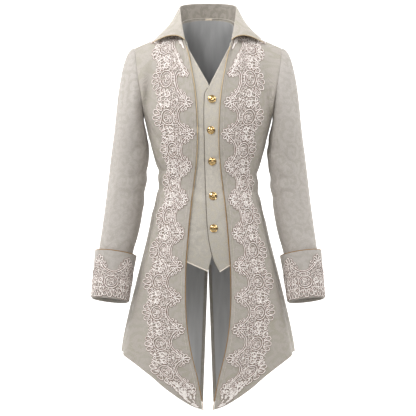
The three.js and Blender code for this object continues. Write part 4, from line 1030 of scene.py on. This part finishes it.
def tubes(name, cords, look, sides=5, foot=None):
    """cords: (points, up directions, radius, closed) for each cord; a foot is a section of its own, in radii."""
    vertices, faces, marks, uvs, start = [], [], [], [], 0
    angles = np.arange(sides) * 2 * math.pi / sides + math.pi / 2
    section = np.stack([np.cos(angles), np.sin(angles)], -1) if foot is None else np.array(foot, float)
    sides = len(section)
    # upper is 1 on top of the section and 0 at its foot: the yarns paint shade on the lower side with it
    upper = np.clip((section[:, 1] + 0.6) / 1.4, 0, 1)
    for path, ups, radius, closed in cords:
        count = len(path)
        along = unit(np.roll(path, -1, 0) - np.roll(path, 1, 0)) if closed else unit(np.gradient(path, axis=0))
        across = unit(np.cross(along, ups))
        up = np.cross(across, along)
        ring = (across[:, None] * section[None, :, :1] + up[:, None] * section[None, :, 1:]) * radius
        vertices.append((path[:, None] + ring).reshape(-1, 3))
        marks.append(np.tile(upper, count))
        run = np.concatenate([[0], np.cumsum(np.linalg.norm(np.diff(path, axis=0), axis=1))]) * MM
        uvs.append(np.stack(np.meshgrid(np.arange(sides) / sides * 0.008, run), -1).reshape(-1, 2))
        i = np.arange(count if closed else count - 1)[:, None]
        j = np.arange(sides)[None]
        n, k = (i + 1) % count, (j + 1) % sides
        quads = np.stack(np.broadcast_arrays(i * sides + j, i * sides + k, n * sides + k, n * sides + j), -1)
        faces += (quads.reshape(-1, 4) + start).tolist()
        if not closed:
            faces.append([start + q for q in range(sides)][::-1])
            faces.append([start + (count - 1) * sides + q for q in range(sides)])
        start += count * sides
    flat = np.concatenate(vertices)
    centre = flat[:sides].mean(0)
    a, b, c = (flat[faces[0][q]] for q in range(3))
    if np.cross(b - a, c - a) @ (a - centre) < 0:
        faces = [face[::-1] for face in faces]
    piece = new_mesh(name, flat, faces, uv=np.concatenate(uvs))
    shade = piece.data.attributes.new("upper", "FLOAT", "POINT")
    shade.data.foreach_set("value", np.concatenate(marks).astype(np.float32))
    piece.data.materials.append(look)
    smooth(piece, 80)
    return piece


# %% [markdown]
# Gold piping is let into the seams of the front edges, the collar's front edges and the tops of the cuffs. It is one
# round cord, laid along the panel's own edge, so it follows every crease of that edge.

# %% Piping
PIPING = 1.0
for word, side in SIDES:
    v = PANEL_V[4:]
    middle = panel_surface(-1, side, 0 * v, v, COAT_CLOTH / 2)
    beside = panel_surface(-1, side, 0 * v + 0.05, v, COAT_CLOTH / 2)
    away = unit(middle - beside)
    normal = mirrored(panel_normal(-1, 0 * v, v), side)
    path = middle + away * (1.2 + PIPING)
    piping = tubes(f"piping_front_edge_{word}", [(path, normal, PIPING, False)], GOLD_BRAID, sides=8)
    dress(piping, "piping", f"piping_front_{word}")
    share = np.linspace(0, 1, 40)
    s_end, s_near = side * np.ones(40), side * 0.98 * np.ones(40)
    waved = 0.5 * np.sin(9 * s_end + 1.2) * ease(share, 0.3, 1) + 0.3 * np.sin(17 * s_end) * ease(share, 0.5, 1)
    normal = fall_normal(s_end, share)
    ahead = unit(fall_point(s_end, share) - fall_point(s_near, share))
    path = fall_point(s_end, share) + normal * (waved + COLLAR_CLOTH / 2)[:, None] + ahead * (0.6 + PIPING)
    piping = tubes(f"piping_collar_edge_{word}", [(path, normal, PIPING, False)], GOLD_BRAID, sides=8)
    dress(piping, "piping", f"piping_collar_{word}")
    turn = np.linspace(0, 2 * math.pi, 97)[:-1]
    z = np.full(96, -605 + SEAM + PIPING)
    off = 10.2 - COAT_CLOTH / 2 + cuff_wave(turn, z, word)
    path = mirrored(sleeve_section(z, turn, off), side)
    out = unit(path - mirrored(sleeve_middle(z), side))
    piping = tubes(f"piping_cuff_top_{word}", [(path, out, PIPING, True)], GOLD_BRAID, sides=8)
    dress(piping, "piping", f"piping_cuff_{word}")

# %% [markdown]
# The lace is a corded guipure: every line of it is a cord of yarn. One repeat has a fan of open petals round an eye,
# a small flower between two eyes, double cords that cross beside the eye, and a spray of five petals near the
# front edge. It is drawn once, flat, in millimetres: p towards the front edge, q up, with the eye at (0, 0).
# The drawing is a plain, traditional lace figure, and each repeat is bent a little differently.

# %% One repeat of the lace
# The lace cord's section: a round top over two wide flat flanges at its foot, which take the deep colour as painted
# shade between the cords.
LACE_SECTION_SHADE_FOOT = [(0, 0.8), (-0.85, 0.3), (-2.3, -0.7), (2.3, -0.7), (0.85, 0.3)]
REPEAT_LOW, REPEAT_WIDE, REPEAT_HIGH = -41.0, 110.0, 84.0


def oval(p, q, half_p, half_q, count=14, start=0.0):
    turn = np.linspace(0, 2 * math.pi, count, endpoint=False) + start
    return np.stack([p + half_p * np.cos(turn), q + half_q * np.sin(turn)], -1)


def petal(p, q, angle, length, width):
    """A closed petal loop that grows from (p, q) in the direction of the angle."""
    outline = np.array([(0, 0), (0.35, 0.34), (0.72, 0.5), (0.97, 0.28), (1.0, 0), (0.97, -0.28), (0.72, -0.5),
                        (0.35, -0.34)]) * (length, width)
    c, s = math.cos(angle), math.sin(angle)
    return outline @ np.array([[c, s], [-s, c]]) + (p, q)


def beside(line, gap):
    """A second cord that runs beside the first one."""
    line = np.asarray(line, float)
    along = np.gradient(line, axis=0)
    across = np.stack([-along[:, 1], along[:, 0]], -1)
    return line + across / np.linalg.norm(across, axis=1, keepdims=True) * gap


LACE_BORDER = np.array([(49, 38), (41, 31), (34, 24), (28, 15), (25, 5), (25, -5), (28, -15), (34, -24), (41, -31),
                        (49, -38)], float)


def fill_rings(lines):
    """Small rings for the bare places between the cords, from the largest place down."""
    taken = np.concatenate([resample(line, 1.2, True) if np.ptp(line[:, 0]) < 45 else resample(line, 1.2, False)
                            for line in lines])
    taken = np.concatenate([taken, taken - (0, REPEAT_HIGH), taken + (0, REPEAT_HIGH)])
    p, q = (axis.ravel() for axis in np.meshgrid(np.arange(-26, 46, 2.0), np.arange(-41, 42, 2.0)))
    shape = LACE_BORDER[::-1]
    inside = (p < np.interp(q, shape[:, 1], shape[:, 0])) & (p > -30 + 10 * np.cos(q / 42 * math.pi))
    spots, rings = np.stack([p, q], -1)[inside], []
    room = np.sqrt(((spots[:, None] - taken[None]) ** 2).sum(-1).min(1))
    while room.max() > 3.6:
        best = spots[room.argmax()]
        reach = min(room.max() - 1.9, 3.6)
        rings.append((best[0], best[1], reach))
        room = np.minimum(room, np.linalg.norm(spots - best, axis=1) - reach)
    return rings


def lace_figure():
    """The cords of one repeat as (points, radius, height, closed)."""
    cords = []

    def lay(line, radius=1.0, height=0.0, closed=False):
        cords.append((np.asarray(line, float), radius, height, closed))
    lay(oval(0, 0, 16.5, 19), 1.0, 0.5, True)
    lay(oval(0.8, 0, 11.6, 13.8), 0.75, 0.1, True)
    lay(oval(4.6, 1, 4.8, 5.2, 10), 0.95, 0.5, True)
    for angle in np.radians(np.linspace(84, 276, 9)):
        length = 15.5 + 3.5 * math.sin(angle - math.radians(90))
        root = np.array((21.0 * math.cos(angle), 23.0 * math.sin(angle)))
        lay(petal(*root, angle, length, 11.5), 1.0, 0.3, True)
        ray = np.array((math.cos(angle), math.sin(angle)))
        lay([root + 3.5 * ray, root + 7 * ray, root + 10.5 * ray], 0.7, 0.0)
    lay(LACE_BORDER, 0.95, 0.6)
    lay(beside(LACE_BORDER, 4.6), 0.8, 0.2)
    for mirror in (1, -1):
        lay([(-26, 38 * mirror), (-15, 31.5 * mirror), (-3, 27.5 * mirror), (9, 24.5 * mirror)], 0.95, 0.6)
    flower_p, flower_q = 9, 42
    for k in range(8):
        angle = k * math.pi / 4 + 0.2
        root = (flower_p + 5.6 * math.cos(angle), flower_q + 5.0 * math.sin(angle))
        lay(petal(*root, angle, 9.0, 6.0), 0.85, 0.4, True)
    lay(oval(flower_p, flower_q, 2.2, 2.0, 6), 0.95, 0.6, True)
    lay([(33, 42), (40, 43), (47, 42), (52, 41)], 0.95, 0.7)
    for turn, length in ((1.45, 12), (0.72, 15), (0.0, 17), (-0.72, 15), (-1.45, 12)):
        lay(petal(51 + 1.5 * math.cos(turn), 41 + 2.5 * math.sin(turn), turn, length, 7.6), 0.9, 0.4, True)
    for mirror in (1, -1):
        lay(petal(43, 42 + 2.5 * mirror, 1.8 * mirror, 9.5, 6.0), 0.85, 0.3, True)
        lay(oval(50, 42 + 19 * mirror, 2.9, 2.9, 8), 0.8, 0.4, True)
        lay(oval(41.5, 42 + 23 * mirror, 2.9, 2.9, 8), 0.8, 0.4, True)
    for p, q, reach in fill_rings([cord[0] for cord in cords]):
        lay(oval(p, q, reach, reach, 8), 0.75, 0.2, True)
    return cords


FIGURE = lace_figure()
print("cords in one repeat", len(FIGURE))


def lace_repeat(rng):
    """One repeat, bent a little."""
    return [(line + rng.normal(0, 0.35, line.shape), *rest) for line, *rest in FIGURE]


# %% [markdown]
# A band of lace is the repeat laid down the front again and again. Each repeat has its own height and width, read
# from where the fans and sprays lie, and every point is then put on the cloth's surface, creases and all. Cords that
# would run off the hem or under the piping are left out.

# %% Lace down the fronts
CORD_STEP, LACE_LIFT = 2.4, 0.95
LACE = [(-36, 160, -34, 70), (-89, 152, -121, 52.7), (-157, 152, -202, 42.7), (-238, 150, -284, 36),
        (-324, 129, -371, 44.6), (-413, 122, -457, 54.5), (-502, 136, -554, 64.5), (-594, 154, -634, 68.3),
        (-678, 173, -717, 72.4), (-761, 179, -797, 64.5), (-845, 171, -878, 49), (-918, 152, -948, 38),
        (-1008, 40, -1008, 22)]
fan_tip = through([(row[0], row[1]) for row in LACE])
spray_tip = through([(row[2], row[3]) for row in LACE])
fan_levels = np.array([row[0] for row in LACE], float)


def band_lines(z):
    """Where the band's fans and sprays end at this level."""
    outer = np.where(z < -870, np.minimum(fan_tip(z), hem_at(z) - 7), fan_tip(z))
    inner = np.maximum(spray_tip(z), front_edge(z) + 5)
    return inner, np.maximum(outer, inner + 8)


def lace_piece(name, flat, kinds, places, ups):
    """One mesh of all the cords: their flat lines say where each one ends."""
    ends = np.cumsum([len(line) for line in flat])[:-1]
    cords = [(place, up, *kind) for place, up, kind in zip(np.split(places, ends), np.split(ups, ends), kinds)]
    return tubes(name, cords, LACE_YARN, foot=LACE_SECTION_SHADE_FOOT)


def lace_band(word, side):
    rng = np.random.default_rng(11 if word == "left" else 29)
    flat, kinds = [], []
    for i in range(len(fan_levels)):
        centre = fan_levels[i]
        high = fan_levels[i - 1] - centre if i else 68.0
        low = centre - fan_levels[i + 1] if i + 1 < len(fan_levels) else 60.0
        for line, radius, height, closed in lace_repeat(rng):
            fine = resample(line, CORD_STEP, closed)
            p, q = fine[:, 0], fine[:, 1]
            z = centre + q * np.where(q > 0, high, low) / REPEAT_HIGH
            inner, outer = band_lines(z)
            x = mix(outer, inner, (p - REPEAT_LOW) / REPEAT_WIDE)
            x = np.where(z < -850, np.minimum(x, hem_at(z) - 2.5), x)
            off_cloth = z.max() > -33 or z.min() < -1012 or (x < front_edge(z) + 1.5).any()
            if off_cloth or np.ptp(x) + np.ptp(z) < 2:
                continue
            flat.append(points(side * x, z, LACE_LIFT + height))
            kinds.append((radius, closed))
    whole = np.concatenate(flat)
    places = on_front(whole[:, 0], whole[:, 1], whole[:, 2])
    lace = lace_piece(f"lace_front_band_{word}", flat, kinds, places, front_normal(whole[:, 0], whole[:, 1]))
    return dress(lace, "lace", f"lace_front_{word}")


for word, side in SIDES:
    lace_band(word, side)

# %% [markdown]
# Round the cuff the same lace lies on its side: the fans look down to the wrist, the sprays up. A bare half-moon of
# cloth is left at the top between two sprays.

# %% Lace round the cuffs
def lace_cuff(word, side):
    rng = np.random.default_rng(41 if word == "left" else 59)
    flat, kinds = [], []
    motifs = 4
    for i in range(motifs):
        centre = math.radians(90) + i * 2 * math.pi / motifs
        between = [(petal(-27, q, math.pi, 13, 9), 0.9, 0.3, True) for q in (27, 37, 47, 57)]
        for line, radius, height, closed in lace_repeat(rng) + between:
            fine = resample(line, CORD_STEP, closed)
            turn = centre + fine[:, 1] / REPEAT_HIGH * 2 * math.pi / motifs
            z = np.maximum(-728 + (fine[:, 0] - REPEAT_LOW) * 110 / REPEAT_WIDE, -729)
            flat.append(points(turn, z, LACE_LIFT + height))
            kinds.append((radius, closed))
    turn, z, height = np.concatenate(flat).T
    off = cuff_off(z) + cuff_wave(turn, z, word) + height
    place = mirrored(sleeve_section(z, turn, off), side)
    out = unit(place - mirrored(sleeve_section(z, turn, off - 10), side))
    lace = lace_piece(f"lace_cuff_band_{word}", flat, kinds, place, out)
    return dress(lace, "lace", f"lace_cuff_{word}")


for word, side in SIDES:
    lace_cuff(word, side)

# %% [markdown]
# The buttons are stamped brass shells, polished and gilded. One is modelled flat: a disc is drawn out into a rim,
# stepped in, then domed by a few smaller and smaller extrusions. Each step is a rise in millimetres and the scale
# that the drawn-out ring gets.

# %% Gilded buttons
def gilt(name):
    look, tree, shader = material(name)
    tarnish = noise(tree, object_place(tree), 300.0, 4.0)
    tree.links.new(shades(tree, tarnish, (0.3, "#A57C43"), (0.62, "#EBD09A")), shader.inputs["Base Color"])
    tree.links.new(remap(tree, tarnish, 0.0, 1.0, 0.05, 0.16), shader.inputs["Roughness"])
    bump(tree, shader, tarnish, 0.08, 0.2)
    shader.inputs["Metallic"].default_value = 1.0
    return look


# polished gilding on brass, a little rubbed
GILT = gilt("gilded_brass_polished")
BUTTON_RADIUS = 10.8
STEPS = [(2.1, 1.0), (0, 3.72), (0.35, 1.035), (0.75, 1.0), (0.3, 0.965), (-0.05, 0.93), (-0.25, 0.97), (0.85, 0.93),
         (0.95, 0.84), (0.7, 0.74), (0.42, 0.58), (0.12, 0.3)]
deselect()
bpy.ops.mesh.primitive_circle_add(vertices=48, radius=0.26 * BUTTON_RADIUS * MM, fill_type="NGON")
button = bpy.context.object
button.name = "button_shell"
bpy.ops.object.mode_set(mode="EDIT")
bpy.ops.mesh.select_all(action="SELECT")
for rise, scale in STEPS:
    bpy.ops.mesh.extrude_region_move(TRANSFORM_OT_translate={"value": (0, 0, rise * MM)})
    bpy.ops.transform.resize(value=(scale, scale, 1))
bpy.ops.mesh.select_all(action="SELECT")
bpy.ops.mesh.normals_make_consistent(inside=False)
bpy.ops.object.mode_set(mode="OBJECT")
print("button shell faces", len(button.data.polygons), "height mm", round(button.dimensions.z / MM, 2))

# %% [markdown]
# On the real button the rosette is struck into the shell. Here it is eight pressed beads, leaned outwards down the
# dome, and a round boss, joined to the shell. It is a plain rosette, without any maker's crest.

# %% Rosette on the button
def bead(segments, rings, radius, *moves):
    deselect()
    bpy.ops.mesh.primitive_uv_sphere_add(segments=segments, ring_count=rings, radius=radius * MM)
    made = bpy.context.object
    for move in moves:
        made.data.transform(move)
    return made


top = max(v.co.z for v in button.data.vertices)
PRESSED = (Matrix.Diagonal((2.1, 1.15, 0.7, 1)), Matrix.Rotation(math.radians(14), 4, "Y"),
           Matrix.Translation((3.5 * MM, 0, top - 0.55 * MM)))
parts = [bead(12, 8, 1.0, *PRESSED, Matrix.Rotation(k * math.pi / 4, 4, "Z")) for k in range(8)]
parts.append(bead(16, 10, 1.35, Matrix.Translation((0, 0, top - 0.25 * MM))))
deselect()
for part in [button] + parts:
    part.select_set(True)
bpy.context.view_layer.objects.active = button
bpy.ops.object.join()
button.data.materials.clear()
button.data.materials.append(GILT)
smooth(button, 55)
print("button faces", len(button.data.polygons))

# %% [markdown]
# The buttons sit on the waistcoat's upper front, square to the cloth, each turned a little differently, as sewn
# buttons are. They are copies of the one shell, each with a mesh of its own.

# %% Buttons on the waistcoat
BUTTONS = [(10, -188), (7.5, -272), (11, -356), (13, -448), (15, -535)]
BUTTON_SEAT = 0.72
for i, (x, z) in enumerate(BUTTONS, 1):
    x, z = np.array([float(x)]), np.array([float(z)])
    seat, up = on_front(x, z, np.array([BUTTON_SEAT - OVER_DEPTH]))[0], front_normal(x, z)[0]
    turned = Vector((0, 0, 1)).rotation_difference(Vector(up)).to_matrix().to_4x4()
    spun = Matrix.Rotation(0.37 * i, 4, "Z")
    mesh = button.data.copy()
    mesh.transform(Matrix.Translation(Vector(seat) * MM) @ turned @ spun)
    made = bpy.data.objects.new(f"gilded_button_{i}", mesh)
    SCENE.objects.link(made)
    dress(made, "button", f"button_{i}")
bpy.data.objects.remove(button)

# %% [markdown]
# The collar is sewn to the lining with a pale seam, and a small woven tab, left blank, is caught in it at the nape.

# %% Neck seam and tab
def neck_line(s, share, lift):
    """Points on the inside of the collar's stand, lifted off it, and the directions they are lifted in."""
    base, raised = stand_point(s, share, COLLAR_CLOTH + 0 * s), stand_point(s, share, COLLAR_CLOTH + lift + 0 * s)
    return raised, unit(raised - base)


def edge_cord(name, path, ups, radius, look, slot, sides=8):
    dress(tubes(name, [(path, ups, radius, False)], look, sides=sides), slot)


s = np.linspace(-0.8, 0.8, 120)
edge_cord("neck_seam_tape", *neck_line(s, 0.03 + 0 * s, 0.6), 0.65, SEWING_THREAD, "jacquard")
TAB_COLUMNS = [-8, -4, 0, 4, 8, 11]
s_of_x = np.linspace(-0.3, 0.3, 61)
s, share = np.meshgrid(np.interp(TAB_COLUMNS, neck_base(s_of_x)[:, 0], s_of_x), np.linspace(0.0, -0.12, 5))
tab = cloth("blank_size_tab", neck_line(s, share, 3.4)[0], neck_line(s, share, 2.8)[0], [CREAM_BINDING])
dress(tab, "lining")

# %% [markdown]
# Sewing shows as fine stitches along the front edges and the waistcoat's neck. The hem of the waistcoat is bound with
# cream satin, its neck has a rolled edge, and a dark cord under its lapped edge paints the shadow line there. Each
# stitch is a short cord that dips into the cloth at both ends.

# %% Stitches and binding
STITCH_INSET, EDGE_STEP = 9.5, 3.0
NECK_ROWS, NECK_END, LAP_START = 34, -150, -156


def stitches(path, ups, length=3.2, gap=1.1, radius=0.42):
    run = np.concatenate([[0], np.cumsum(np.linalg.norm(np.diff(path, axis=0), axis=1))])
    cords = []
    for start in np.arange(1.0, run[-1] - length - 1, length + gap):
        at = start + length * np.array([0, 0.2, 0.5, 0.8, 1])
        place = np.stack([np.interp(at, run, path[:, k]) for k in range(3)], -1)
        up = unit(np.stack([np.interp(at, run, ups[:, k]) for k in range(3)], -1))
        arch = np.array([-0.35, 0.2, 0.3, 0.2, -0.35])[:, None]
        cords.append((place + up * arch, up, radius, False))
    return cords


def sew(name, line, ups, lift):
    dress(tubes(name, stitches(line + ups * lift, ups), SEWING_THREAD, sides=4), "piping")


for word, side in SIDES:
    v = PANEL_V[8:-2]
    u = 0.075 + 0 * v
    edge, inside = panel_surface(-1, side, 0 * v, v, 0), panel_surface(-1, side, u, v, 0)
    reach = np.linalg.norm(inside - edge, axis=1)
    line = mix(edge, inside, (STITCH_INSET / reach)[:, None])
    sew(f"stitches_front_{word}", line, mirrored(panel_normal(-1, u, v), side), 0.25)
    outer = VESTS[word]
    hem_line = outer[-1]
    ups = unit(front_normal(hem_line[:, 0], hem_line[:, 2]))
    path = resample(hem_line - ups * VEST_CLOTH / 2, EDGE_STEP)
    edge_cord(f"binding_vest_hem_{word}", path, np.tile(ups[:1], (len(path), 1)), 1.7, CREAM_BINDING, "lace")
    rim = resample(outer[:NECK_ROWS, 0], EDGE_STEP)
    rim = rim[rim[:, 2] > NECK_END]
    ups = front_normal(rim[:, 0], rim[:, 2])
    edge_cord(f"edge_vest_neck_{word}", rim - ups * 0.5, ups, 0.7, CREAM_BINDING, "lace", sides=6)
    line = mix(outer[:NECK_ROWS, 0], outer[:NECK_ROWS, 2], 0.9)
    sew(f"stitches_vest_{word}", line, front_normal(line[:, 0], line[:, 2]), 0.3)
# painted shadow: a dark cord under the lapped edge of the upper waistcoat front
rim = resample(VESTS["left"][:-2, 0] - [1.3, 0, 0], EDGE_STEP)
rim = rim[rim[:, 2] < LAP_START]
ups = front_normal(rim[:, 0], rim[:, 2])
edge_cord("painted_shadow_vest_edge_left", rim - ups * (VEST_CLOTH + 0.2), ups, 0.8, SHADOW_LINE_CORD, "jacquard", sides=6)

# %% [markdown]


# %% [markdown]
# The photograph was taken from far away with a long lens, level with the coat's waist, before a white wall.

# %% Camera
DISTANCE, MM_PER_PIXEL, IMAGE_WIDTH, SENSOR = 8.0, 2.7, 416, 36
camera_data = bpy.data.cameras.new("camera")
camera_data.sensor_width = SENSOR
camera_data.lens = SENSOR * DISTANCE / (IMAGE_WIDTH * MM_PER_PIXEL * MM)
camera_data.clip_end = 60
camera = bpy.data.objects.new("camera", camera_data)
camera.location = (-0.0005, -DISTANCE - 0.06, -0.4806)
camera.rotation_euler = (math.radians(90), 0, 0)
SCENE.objects.link(camera)
bpy.context.scene.camera = camera
print("lens mm", round(camera_data.lens, 1))

# %% [markdown]
# The stage is a white cove: a floor that curves up into a wall, as one drawn profile. Above the floor its paper
# glows a little, so it stays white, and from behind it can be seen through.

# %% Stage
FLOOR, WALL, HALF_WIDTH, BEND = -1.16, 1.3, 9.0, 0.5
deselect()
bpy.ops.mesh.primitive_plane_add(size=1, location=(0, 0, 0))
cove = bpy.context.object
cove.name = "studio_cove"
profile = [(-HALF_WIDTH, FLOOR)]
profile += [(WALL - BEND + BEND * math.sin(a), FLOOR + BEND - BEND * math.cos(a))
            for a in np.linspace(0, math.pi / 2, 13)]
profile += [(WALL, 6.0)]
vertices = [(x, y, z) for y, z in profile for x in (-HALF_WIDTH, HALF_WIDTH)]
cove.data.clear_geometry()
cove.data.from_pydata(vertices, [], [(2 * i, 2 * i + 1, 2 * i + 3, 2 * i + 2) for i in range(len(profile) - 1)])
smooth(cove, 60)
paper, tree, shader = material("white_paper_cove")
shader.inputs["Base Color"].default_value = srgb("#C9C8C6")
shader.inputs["Roughness"].default_value = 0.9
shader.inputs["Emission Color"].default_value = srgb("#FFFFFF")
glow = remap(tree, level_of(tree, object_place(tree)), -1.15, -1.05, 0.0, 0.95)
tree.links.new(glow, shader.inputs["Emission Strength"])
behind = node(tree, "ShaderNodeNewGeometry").outputs["Backfacing"]
clear = node(tree, "ShaderNodeBsdfTransparent").outputs[0]
seen = node(tree, "ShaderNodeMixShader", {0: behind, 1: shader.outputs[0], 2: clear})
tree.links.new(seen.outputs[0], tree.nodes["Material Output"].inputs["Surface"])
cove.data.materials.append(paper)
print("stage", cove.name, "floor at", FLOOR)

# %% [markdown]
# The light is that of a catalogue. Two big soft boxes with a narrowed beam light the coat, the stronger one from the
# left and above. Two more light only the wall, and a pale room that darkens downwards fills the shadows.

# %% Lights
# name, place, aimed at, side of the box, watts, spread in degrees
BOXES = [("key", (-1.5, -2.3, 1.9), (0, 0, -0.05), 1.0, 9.6, 66),
         ("fill", (1.0, -3.6, 1.2), (0, 0, -0.1), 1.4, 5.2, 75),
         ("wall_left", (-2.4, -0.3, 1.5), (-0.5, 1.3, -0.4), 1.6, 45, 180),
         ("wall_right", (2.4, -0.3, 1.5), (0.5, 1.3, -0.4), 1.6, 45, 180)]
for name, place, target, side_length, power, spread in BOXES:
    data = bpy.data.lights.new(name, "AREA")
    data.shape = "RECTANGLE"
    data.size = data.size_y = side_length
    data.energy = power
    data.spread = math.radians(spread)
    lamp = bpy.data.objects.new(name, data)
    lamp.location = place
    lamp.rotation_euler = (Vector(target) - Vector(place)).to_track_quat("-Z", "Y").to_euler()
    SCENE.objects.link(lamp)

world = bpy.data.worlds.new("pale_room")
world.use_nodes = True
room = world.node_tree
level = remap(room, level_of(room, node(room, "ShaderNodeTexCoord").outputs["Generated"]), -0.6, 0.9)
sky = shades(room, level, (0.0, "#2B2724"), (0.42, "#8C8986"), (0.7, "#E4E2E0"), (1.0, "#FFFFFF"))
room.links.new(sky, room.nodes["Background"].inputs[0])
room.nodes["Background"].inputs[1].default_value = 0.41
bpy.context.scene.world = world
bpy.context.scene.view_settings.view_transform = "Standard"
print("lights", len(BOXES))
